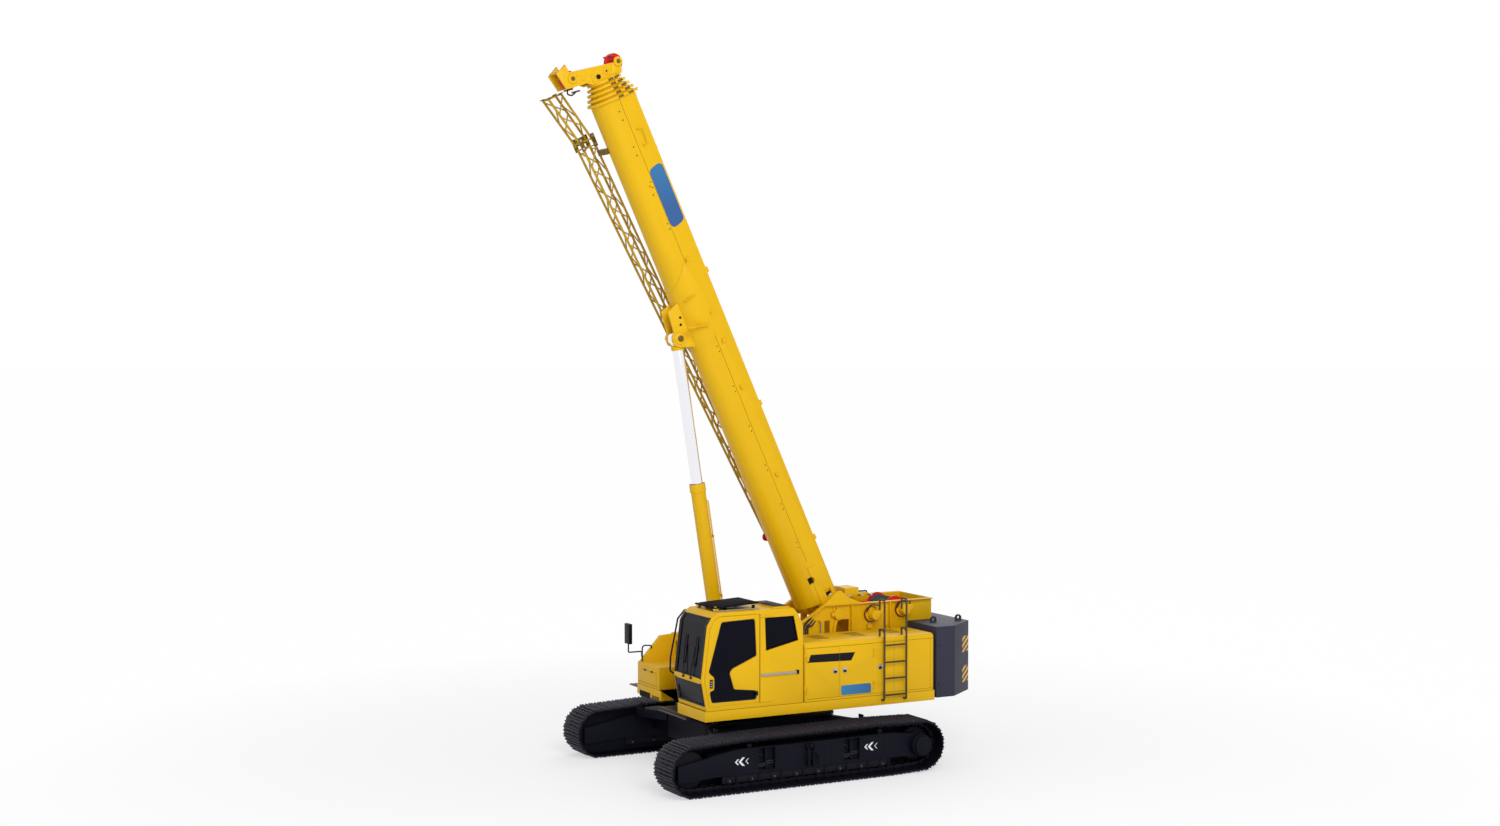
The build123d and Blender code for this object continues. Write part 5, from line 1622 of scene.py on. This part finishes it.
@dataclass
class Boom:
    """The telescopic boom with its head and saddle, in the boom's own frame."""

    half: float = 0.31
    top: float = 0.22
    collar_step: float = 0.03
    seam_v: float = -0.082
    place: Matrix = field(default_factory=boom_frame)

    def build(self) -> None:
        """Builds the boom."""
        self.base()
        for index in range(2, 6):
            self.section(index)
        self.head()
        self.sheaves()
        self.saddle()

    def base(self) -> None:
        """The base section with its seam line and dimples in painted shade, its pipe, handles and lugs, and two holes
        in painted shadow.
        """
        node = "boom_section_1"
        form = Form()
        softened(form, node, BOOM, 0.004)
        form.place = self.place
        head = local_box(node, self.place)[1].x
        for way in (1.0, -1.0):
            y = way * self.half
            # Painted shade along the seam between the upper and lower shells.
            form.box((1.0, y - 0.001, self.seam_v - 0.003), (head - 0.05, y + way * 0.0012, self.seam_v + 0.003),
                     SEAM_AND_DIMPLE_SHADE, 0.0)
            self.dimples(form, y, way)
            self.lugs(form, y, way)
            form.turned((0.0, y, 0.0), (0, way, 0), ((0.0, 0.115), (0.026, 0.115), (0.030, 0.10)), BOOM, 32)
            # Painted shadow inside two holes near the foot.
            for u0, u1, v0, v1 in ((0.302, 0.398, 0.027, 0.123), (0.632, 0.728, -0.185, -0.095)):
                form.box((u0, y - way * 0.022, v0), (u1, y - way * 0.016, v1), SHADOW, 0.0)
        form.pipe(((9.26, 0.18, self.top), (9.24, 0.18, self.top + 0.035), (8.36, 0.18, self.top + 0.035),
                   (8.34, 0.18, self.top)), 0.016, 0.03, BOOM)
        form.box((8.31, 0.14, self.top - 0.001), (8.37, 0.22, self.top + 0.05), BOOM, 0.004)
        form.box((9.19, 0.13, self.top - 0.001), (9.27, 0.23, self.top + 0.045), BOOM, 0.004)
        form.pipe(((8.73, self.half, -0.001), (8.735, self.half + 0.045, -0.001), (8.72, self.half + 0.045, 0.084),
                   (8.47, self.half + 0.045, 0.078), (8.46, self.half + 0.045, -0.004), (8.455, self.half, -0.004)),
                  0.008, 0.02, BOOM, 8)
        sheet = round_corners(((7.03, -0.075), (7.10, 0.195), (8.12, 0.195), (8.05, -0.075)), 0.10)
        for way in (1.0, -1.0):
            form.prism(sheet, way * (self.half - 0.001), way * (self.half + 0.0016), BOOM_SHEET, "y", 0.0)
        self.collar(form, head, self.half, self.top, 1)
        form.piece("boom_tube_1", body_of(node), (node,))

    def dimples(self, form: Form, y: float, way: float) -> None:
        """Pairs of plug welds along the lower shell, and small caps along the upper edge, drawn as discs of painted
        shade.
        """
        for u, v in ((9.02, -0.16), (8.42, -0.163), (7.74, -0.158)):
            for step in (-0.09, 0.09):
                form.turned((u + step * 0.8, y, v), (0, way, 0), ((-0.002, 0.012), (0.003, 0.012), (0.004, 0.009)),
                            SEAM_AND_DIMPLE_SHADE, 12)
        for k in range(10):
            u = 1.30 + 0.72 * k
            for step in (0.0, 0.095):
                form.turned((u + step, y, -0.118), (0, way, 0), ((-0.002, 0.011), (0.003, 0.011), (0.004, 0.008)),
                            SEAM_AND_DIMPLE_SHADE, 12)

    def lugs(self, form: Form, y: float, way: float) -> None:
        """Small L-shaped lugs on the side and flat lugs along the upper edge."""
        for u, v in ((6.494, -0.055), (5.539, -0.013), (5.034, -0.002), (4.20, -0.01), (2.60, -0.01)):
            form.box((u - 0.03, y, v - 0.006), (u + 0.03, y + way * 0.035, v + 0.006), BOOM, 0.002)
            form.box((u - 0.03, y + way * 0.027, v), (u + 0.03, y + way * 0.035, v + 0.045), BOOM, 0.002)
        for u in (3.81, 1.321, 6.2):
            form.prism(((u - 0.06, self.top - 0.001), (u - 0.04, self.top + 0.045), (u + 0.04, self.top + 0.045),
                        (u + 0.06, self.top - 0.001)), y - way * 0.02, y - way * 0.035, BOOM, "y", 0.002)

    def collar(self, form: Form, head: float, half: float, top: float, index: int) -> None:
        """Wear pads, pad screws and pins round a section's head."""
        for way in (1.0, -1.0):
            y = way * (half + 0.045)
            for v in (top * 0.62, -0.05):
                form.box((head - 0.036, y - way * 0.004, v - 0.045), (head - 0.004, y + way * 0.006, v + 0.045),
                         BODY_DARK, 0.002)
                for step in (-0.024, 0.024):
                    form.bolt((head - 0.020, y + way * 0.006, v + step), (0, way, 0), 0.006, BODY_DARK)
            form.box((head - 0.001, y - way * 0.095, top - 0.11), (head + 0.014, y - way * 0.045, top - 0.03), PAD,
                     0.002)
        for y in (-half * 0.62, 0.0, half * 0.62):
            form.box((head - 0.036, y - 0.05, top + 0.044), (head - 0.004, y + 0.05, top + 0.052), BODY_DARK, 0.002)
            form.box((head - 0.001, y - 0.045, top + 0.004), (head + 0.014, y + 0.045, top + 0.030), PAD, 0.002)
        rod_y = half * 0.80 - 0.03 * index
        form.rod((head - 0.012, rod_y, top + 0.045), (head - 0.012, rod_y, top + 0.135 - 0.012 * index), 0.008, BOOM,
                 12)

    def section(self, index: int) -> None:
        """One inner section's visible head."""
        node = f"boom_section_{index}"
        form = Form()
        softened(form, node, BOOM, 0.003)
        form.place = self.place
        _, high = local_box(node, self.place)
        shrink = (index - 1) * self.collar_step
        self.collar(form, high.x, self.half - shrink, self.top - shrink, index)
        form.piece(f"boom_tube_{index}", body_of(node), (node,))

    def head(self) -> None:
        """The head's side plates with hubs, guards, bolts, cross bars and the red edge."""
        form = Form()
        softened(form, "boom_head", BOOM, 0.004)
        form.place = self.place
        for way in (1.0, -1.0):
            y = way * 0.18
            out = (0, way, 0)
            for u, v, radius in ((9.815, 0.205, 0.075), (9.845, -0.64, 0.078)):
                form.turned((u, y, v), out, ((0.0, radius), (0.018, radius), (0.024, radius * 0.9)), BOOM, 28)
                form.turned((u, y + way * 0.022, v), out, ((0.0, 0.034), (0.012, 0.034), (0.016, 0.028)), BODY_DARK, 20)
                form.bolt_circle((u, y + way * 0.020, v), out, radius * 0.72, 6, 0.006, BOOM)
            # Painted shadow: a dark disc for a hole, with a rim round it.
            form.turned((9.712, y, -0.21), out, ((-0.002, 0.040), (0.0015, 0.040)), SHADOW, 24)
            form.ring((9.712, y - way * 0.001, -0.21), out, 0.008, 0.052, 0.041, BOOM, 28)
            form.turned((9.749, y, -0.05), out, ((0.0, 0.045), (0.014, 0.045), (0.018, 0.036)), BOOM, 24)
            form.bolt((9.749, y + way * 0.017, -0.05), out, 0.015, BODY_DARK)
            form.turned((9.785, y, -0.463), out, ((0.0, 0.030), (0.012, 0.030), (0.015, 0.024)), BOOM, 20)
            form.box((9.66, y, -0.33), (9.78, y + way * 0.012, -0.30), BOOM, 0.002)
            form.prism(((9.655, 0.02), (9.70, 0.02), (9.80, 0.10), (9.80, 0.13), (9.655, 0.13)), y, y + way * 0.010,
                       BOOM, "y", 0.002)
            edge = ((9.99, -0.845), (10.075, -0.662), (10.095, -0.668), (10.008, -0.852))
            form.prism(edge, y - way * 0.028, y - way * 0.002, RED, "y", 0.0)
        for u, v in ((9.70, 0.21), (9.93, 0.16), (9.955, -0.735), (9.70, -0.70)):
            form.rod((u, -0.165, v), (u, 0.165, v), 0.014, BODY_DARK, 14)
        for u, v in ((9.86, -0.40), (9.80, -0.12)):
            form.box((u - 0.012, -0.15, v - 0.07), (u + 0.012, 0.15, v + 0.07), BOOM, 0.003)
        form.box((9.66, -0.10, 0.235), (9.74, 0.10, 0.262), BOOM, 0.004)
        form.turned((9.70, 0.0, 0.262), (0, 0, 1), ((0.0, 0.028), (0.02, 0.028), (0.03, 0.018)), BLACK, 16)
        hook = ((9.62, 0.0, -0.60), (9.60, 0.0, -0.68), (9.64, 0.0, -0.74), (9.70, 0.0, -0.72), (9.705, 0.0, -0.67))
        form.pipe(hook, 0.012, 0.03, BLACK)
        form.rod((9.63, -0.15, -0.59), (9.63, 0.15, -0.59), 0.014, BODY_DARK, 14)
        form.piece("head_plates", body_of("boom_head"), ("boom_head",))

    def sheaves(self) -> None:
        """Head sheaves with a rope groove, spokes' holes as dark discs of painted shade, and a hub."""
        for node, name in (("head_sheave_rear", "rear_sheave"), ("head_sheave_front", "front_sheave")):
            low, high = local_box(node, self.place)
            middle = (low + high) / 2
            radius = (high.x - low.x) / 2 - 0.001
            form = Form(self.place)
            rim = ((0.0, 0.040), (0.0, radius * 0.80), (0.020, radius * 0.84), (0.020, radius), (0.034, radius),
                   (0.058, radius - 0.020), (0.062, radius - 0.020), (0.086, radius), (0.100, radius),
                   (0.100, radius * 0.84), (0.119, radius * 0.80), (0.119, 0.040), (0.0, 0.040))
            form.turned((middle.x, -0.0595, middle.z), (0, 1, 0), rim, RED, 56)
            form.ring((middle.x, low.y + 0.002, middle.z), (0, 1, 0), high.y - low.y - 0.004, 0.060, 0.0375, RED, 32)
            # Painted shade: dark discs each side stand for the spokes' holes.
            for k in range(6):
                a = 2 * math.pi * k / 6
                at = Vector((middle.x + radius * 0.60 * math.cos(a), 0.0, middle.z + radius * 0.60 * math.sin(a)))
                for way in (1.0, -1.0):
                    form.turned(at + Vector((0, way * 0.0592, 0)), (0, way, 0), ((0.0, 0.020), (0.0012, 0.020)),
                                DRUM_DARK_AND_HOLE_SHADE, 16)
            form.piece(name, body_of(node), (node,))

    def saddle(self) -> None:
        """The saddle's flange, pin caps, hook and small plates, with holes drawn in painted shadow."""
        form = Form()
        softened(form, "luff_bracket", BOOM, 0.004)
        form.place = self.place
        for way in (1.0, -1.0):
            y = way * 0.142
            form.turned((5.35, y, -0.60), (0, way, 0), ((0.0, 0.100), (0.014, 0.100), (0.020, 0.09)), BOOM, 32)
            form.turned((5.35, y + way * 0.018, -0.60), (0, way, 0), ((0.0, 0.052), (0.008, 0.052), (0.012, 0.044)),
                        BODY_DARK, 24)
            form.box((5.30, y, -0.44), (5.40, y + way * 0.014, -0.40), BOOM, 0.003)
            # Painted shadow: dark discs for two holes each side.
            for u, v in ((5.55, -0.50), (5.66, -0.46)):
                form.turned((u, y, v), (0, way, 0), ((-0.002, 0.022), (0.0015, 0.022)), SHADOW, 16)
            flange = ((5.480, -0.50), (5.500, -0.50), (5.385, -0.128), (5.365, -0.128))
            form.prism(flange, way * 0.300, way * 0.375, BOOM, "y", 0.002)
            second = ((5.90, -0.36), (5.915, -0.36), (5.935, -0.14), (5.92, -0.14))
            form.prism(second, way * 0.300, way * 0.350, BOOM, "y", 0.002)
        form.prism(((5.18, -0.66), (5.22, -0.70), (5.27, -0.70), (5.27, -0.52), (5.18, -0.52)), -0.03, 0.03, BOOM,
                   "y", 0.004)
        form.piece("saddle", body_of("luff_bracket"), ("luff_bracket",))


@dataclass
class Cylinder:
    """The luffing cylinder: a bright rod and a painted barrel with its gland and pipes."""

    def build(self) -> None:
        """Builds the rod and the barrel in one frame along the cylinder."""
        foot = Vector((0.48, 0.0, 1.45))
        eye = boom_frame() @ Vector((5.35, 0.0, -0.60))
        along = (foot - eye).normalized()
        length = (foot - eye).length
        form = Form()
        softened(form, "luff_rod", ROD, 0.003, 60)
        form.place = turn_to(along, eye)
        form.rod((0.0, 0.0, 0.10), (0.0, 0.0, 0.19), 0.108, BODY, 40)
        form.piece("cylinder_rod", body_of("luff_rod"), ("luff_rod",))
        form = Form()
        softened(form, "luff_barrel", BODY, 0.004, 60)
        form.place = turn_to(along, eye)
        top = length - 3.28
        form.ring((0, 0, top - 0.002), (0, 0, 1), 0.020, 0.112, 0.0985, BLACK, 40)
        form.ring((0, 0, top + 0.118), (0, 0, 1), 0.014, 0.136, 0.122, BODY, 40)
        form.bolt_circle((0, 0, top), (0, 0, -1), 0.122, 16, 0.007, SILVER)
        side = form.place.to_3x3().inverted() @ Vector((0, 1, 0))
        ahead = side.cross(Vector((0, 0, 1)))
        for way, reach in ((1.0, 0.30), (-1.0, 2.9)):
            lane = side * (0.055 * way) + ahead * 0.128
            start, end = lane + Vector((0, 0, top + reach)), lane + Vector((0, 0, length - 0.35))
            inner = start - ahead * 0.03
            form.pipe((inner, start, end, end - ahead * 0.03), 0.012, 0.02, BODY, 10)
        for offset in (0.9, 1.9, 2.7):
            at = ahead * 0.121 + Vector((0, 0, top + offset))
            form.box(at + side * -0.08 + Vector((0, 0, -0.02)),
                     at + side * 0.08 + ahead * 0.02 + Vector((0, 0, 0.02)), BODY, 0.003)
        form.piece("cylinder_barrel", body_of("luff_barrel"), ("luff_barrel",))


@dataclass
class Jib:
    """The stowed lattice jib with its fold plates, tip sheave and arms."""

    heel: Station = (9.68, -0.775, 0.118)
    fold: Station = (8.75, -0.545, 0.112)
    tip: Station = (1.40, -0.11, 0.058)
    lane: float = -0.545
    chord: float = 0.020
    brace: float = 0.011
    place: Matrix = field(default_factory=boom_frame)

    def corner(self, station: Station, index: int) -> Vector:
        """A chord's place at a station."""
        u, v, half = station
        return Vector((u, self.lane + (half if index in (0, 3) else -half), v + (half if index < 2 else -half)))

    def lattice(self, form: Form, first: Station, second: Station, panels: int, rings: Sequence[float]) -> None:
        """Four round chords with zigzag bracing on all four faces."""
        for i in range(4):
            # The chords and braces take the yellow paint darkened into painted shade.
            form.rod(self.corner(first, i), self.corner(second, i), self.chord, LATTICE_SHADED, 14)
            shift = 0.1 if i % 2 else 0.6
            for k in range(panels - 1):
                a = between(first, second, (k + shift + 0.08) / panels)
                b = between(first, second, (k + shift + 0.92) / panels)
                p, q = (i, (i + 1) % 4) if k % 2 else ((i + 1) % 4, i)
                form.rod(self.corner(a, p), self.corner(b, q), self.brace, LATTICE_SHADED, 10, 0.0)
            for t in rings:
                station = between(first, second, t - (0.008 if i % 2 else 0.0))
                form.rod(self.corner(station, i), self.corner(station, (i + 1) % 4), self.brace, LATTICE_SHADED, 10, 0.0)

    def build(self) -> None:
        """Builds the long part, the heel and the arms."""
        form = Form(self.place)
        self.lattice(form, between(self.fold, self.tip, 0.002), self.tip, 22, (0.012, 0.99))
        self.tip_end(form)
        form.piece("jib_lattice", body_of("jib"), ("jib",))
        form = Form(self.place)
        self.lattice(form, self.heel, between(self.fold, self.heel, 0.01), 3, (0.03, 0.94))
        self.fold_plates(form)
        form.piece("jib_heel_lattice", body_of("jib_heel"), ("jib_heel",))
        form = Form()
        softened(form, "jib_brackets", BODY_DARK, 0.003)
        form.place = self.place
        for u in (8.56, 3.30):
            for way in (-0.03, 0.03):
                form.bolt((u + way, -0.40, 0.045 if u < 5 else -0.43), (0, 0, 1), 0.012, BOOM)
        form.piece("jib_arms", body_of("jib_brackets"), ("jib_brackets",))

    def tip_end(self, form: Form) -> None:
        """The tip's cheeks and its sheave."""
        u, v, half = self.tip
        wheel_u, wheel_v = u + 0.06, v - half - 0.04
        cheek = ((u - 0.02, v + half), (u + 0.09, v + half), (u + 0.13, v - half), (u + 0.10, wheel_v - 0.03),
                 (u + 0.02, wheel_v - 0.03), (u - 0.02, v - half))
        for way in (1.0, -1.0):
            form.prism(cheek, self.lane + way * (half - 0.008), self.lane + way * (half + 0.006), BOOM, "y", 0.003)
            form.bolt((wheel_u, self.lane + way * (half + 0.005), wheel_v), (0, way, 0), 0.016, SILVER)
        form.turned((wheel_u, self.lane - 0.018, wheel_v), (0, 1, 0),
                    ((0.0, 0.066), (0.004, 0.069), (0.016, 0.058), (0.020, 0.058), (0.032, 0.069),
                     (0.036, 0.066)), RED, 32)
        form.rod((wheel_u, self.lane - half, wheel_v), (wheel_u, self.lane + half, wheel_v), 0.022, SILVER, 16)

    def fold_plates(self, form: Form) -> None:
        """Dark plates each side of the fold, with pins, and end caps on the heel."""
        u, v, half = self.fold
        for way in (1.0, -1.0):
            for edge in (1.0, -1.0):
                y = self.lane + way * (half + self.chord - 0.004)
                middle = v + edge * half
                form.box((u - 0.069, y, middle - 0.034), (u + 0.149, y + way * 0.018, middle + 0.034), BODY_DARK, 0.003)
                for step in (-0.03, 0.11):
                    form.bolt((u + step, y + way * 0.018, middle), (0, way, 0), 0.014, SILVER)
                end = self.corner(self.heel, (0 if way > 0 else 1) if edge > 0 else (3 if way > 0 else 2))
                form.box(end + Vector((-0.012, -0.034, -0.034)), end + Vector((0.001, 0.034, 0.034)), BODY_DARK, 0.003)
        form.prism(((u + 0.02, v - half), (u + 0.14, v - half), (u + 0.14, v + half), (u + 0.02, v + half)),
                   self.lane - half - 0.004, self.lane - half + 0.004, BODY_DARK, "y", 0.001)


def between(first: Station, second: Station, share: float) -> Station:
    """A station part of the way from one to another."""
    u, v, half = (p + (q - p) * share for p, q in zip(first, second))
    return (u, v, half)


# ---- studio ----------------------------------------------------------------------------------------
@dataclass
class Studio:
    """Pale floor, soft lamps and the camera."""

    eye: tuple[float, float, float] = (16.44, 30.40, 7.19)
    yaw: float = 28.40
    pitch: float = 2.25
    lens: float = 50.0
    sensor: float = 36.0
    key: float = 3750.0
    fill: float = 380.0
    back: float = 1200.0
    sky: float = 0.50
    seen_floor: float = 0.55
    far_floor: float = 0.985
    fade: tuple[float, float] = (3.0, 13.0)

    def build(self) -> None:
        """Sets the camera, lamps, world and floor."""
        self.camera()
        self.world()
        self.floor()
        self.lamp("key_lamp", (5.0, 22.0, 17.0), 14.0, self.key)
        self.lamp("fill_lamp", (22.0, 6.0, 9.0), 12.0, self.fill)
        self.lamp("back_lamp", (-14.0, -16.0, 18.0), 14.0, self.back)
        bpy.context.scene.view_settings.view_transform = "Standard"

    def camera(self) -> None:
        """Places the camera."""
        data = bpy.data.cameras.new("camera")
        data.lens = self.lens
        data.sensor_width = self.sensor
        data.clip_end = 400.0
        camera = bpy.data.objects.new("camera", data)
        bpy.context.scene.collection.objects.link(camera)
        yaw, pitch = math.radians(self.yaw), math.radians(self.pitch)
        ahead = Vector((-math.sin(yaw) * math.cos(pitch), -math.cos(yaw) * math.cos(pitch), -math.sin(pitch)))
        camera.location = self.eye
        camera.rotation_euler = ahead.to_track_quat("-Z", "Y").to_euler()
        bpy.context.scene.camera = camera

    def world(self) -> None:
        """An even pale sky, white where the camera, gloss or glass looks at it."""
        world = bpy.data.worlds.new("studio")
        world.use_nodes = True
        tree = world.node_tree
        tree.nodes.clear()
        out = tree.nodes.new("ShaderNodeOutputWorld")
        light = tree.nodes.new("ShaderNodeBackground")
        seen = tree.nodes.new("ShaderNodeBackground")
        light.inputs["Color"].default_value = (0.93, 0.95, 1.0, 1.0)
        light.inputs["Strength"].default_value = self.sky
        seen.inputs["Color"].default_value = (1.0, 1.0, 1.0, 1.0)
        seen.inputs["Strength"].default_value = 1.0
        show_mix(tree, out, seen_rays(tree), light, seen)
        bpy.context.scene.world = world

    def floor(self) -> None:
        """A wide white floor that keeps a soft share of the machine's shadow."""
        mesh = bpy.data.meshes.new("floor")
        mesh.from_pydata([(-400, -500, 0), (400, -500, 0), (400, 200, 0), (-400, 200, 0)], [], [(0, 1, 2, 3)])
        finish = Paint("floor_paint", Tone.PALE, 0.8, coat=0.0, cloud=0.0).material()
        tree = finish.node_tree
        out = tree.nodes["Material Output"]
        glow = tree.nodes.new("ShaderNodeEmission")
        glow.inputs["Color"].default_value = (1.0, 1.0, 1.0, 1.0)
        place = tree.nodes.new("ShaderNodeTexCoord")
        reach = tree.nodes.new("ShaderNodeVectorMath")
        reach.operation = "LENGTH"
        fade = tree.nodes.new("ShaderNodeMapRange")
        for name, value in (("From Min", self.fade[0]), ("From Max", self.fade[1]),
                            ("To Min", self.seen_floor), ("To Max", self.far_floor)):
            fade.inputs[name].default_value = value
        share = tree.nodes.new("ShaderNodeMath")
        share.operation = "MULTIPLY"
        for output, socket in ((place.outputs["Object"], reach.inputs[0]),
                               (reach.outputs["Value"], fade.inputs["Value"]),
                               (seen_rays(tree), share.inputs[0]), (fade.outputs[0], share.inputs[1])):
            tree.links.new(output, socket)
        show_mix(tree, out, share.outputs[0], tree.nodes["Principled BSDF"], glow)
        mesh.materials.append(finish)
        floor = bpy.data.objects.new("floor", mesh)
        bpy.context.scene.collection.objects.link(floor)

    def lamp(self, name: str, at: Point, size: float, power: float) -> None:
        """A square soft lamp aimed at the machine's middle."""
        data = bpy.data.lights.new(name, "AREA")
        data.size = size
        data.energy = power
        made = bpy.data.objects.new(name, data)
        made.location = at
        aim = Vector((0.0, 0.0, 4.0)) - Vector(at)
        made.rotation_euler = aim.to_track_quat("-Z", "Y").to_euler()
        bpy.context.scene.collection.objects.link(made)


def show_mix(tree: bpy.types.NodeTree, out: bpy.types.Node, share: bpy.types.NodeSocket, first: bpy.types.Node,
             second: bpy.types.Node) -> None:
    """Shows a mix of two shaders.

    Args:
        tree: the shader's nodes.
        out: the output that shows the mix.
        share: how much of the second there is.
        first: one shader.
        second: the other.
    """
    mix = tree.nodes.new("ShaderNodeMixShader")
    for output, socket in zip((share, first.outputs[0], second.outputs[0]), mix.inputs):
        tree.links.new(output, socket)
    tree.links.new(mix.outputs[0], out.inputs["Surface"])


def seen_rays(tree: bpy.types.NodeTree) -> bpy.types.NodeSocket:
    """One for rays from the camera, off gloss or through glass, else nought."""
    rays = tree.nodes.new("ShaderNodeLightPath")
    total = rays.outputs["Is Camera Ray"]
    for name in ("Is Glossy Ray", "Is Transmission Ray"):
        larger = tree.nodes.new("ShaderNodeMath")
        larger.operation = "MAXIMUM"
        tree.links.new(total, larger.inputs[0])
        tree.links.new(rays.outputs[name], larger.inputs[1])
        total = larger.outputs[0]
    return total


def main() -> None:
    """Builds every sub-assembly in order."""
    logging.basicConfig(level=logging.INFO, format="%(message)s")
    for part in (Studio(), Undercarriage(), Deck(), Housing(), Cab(), Turret(), Boom(),
                 Cylinder(), Jib()):
        part.build()


if __name__ == "__main__":
    main()
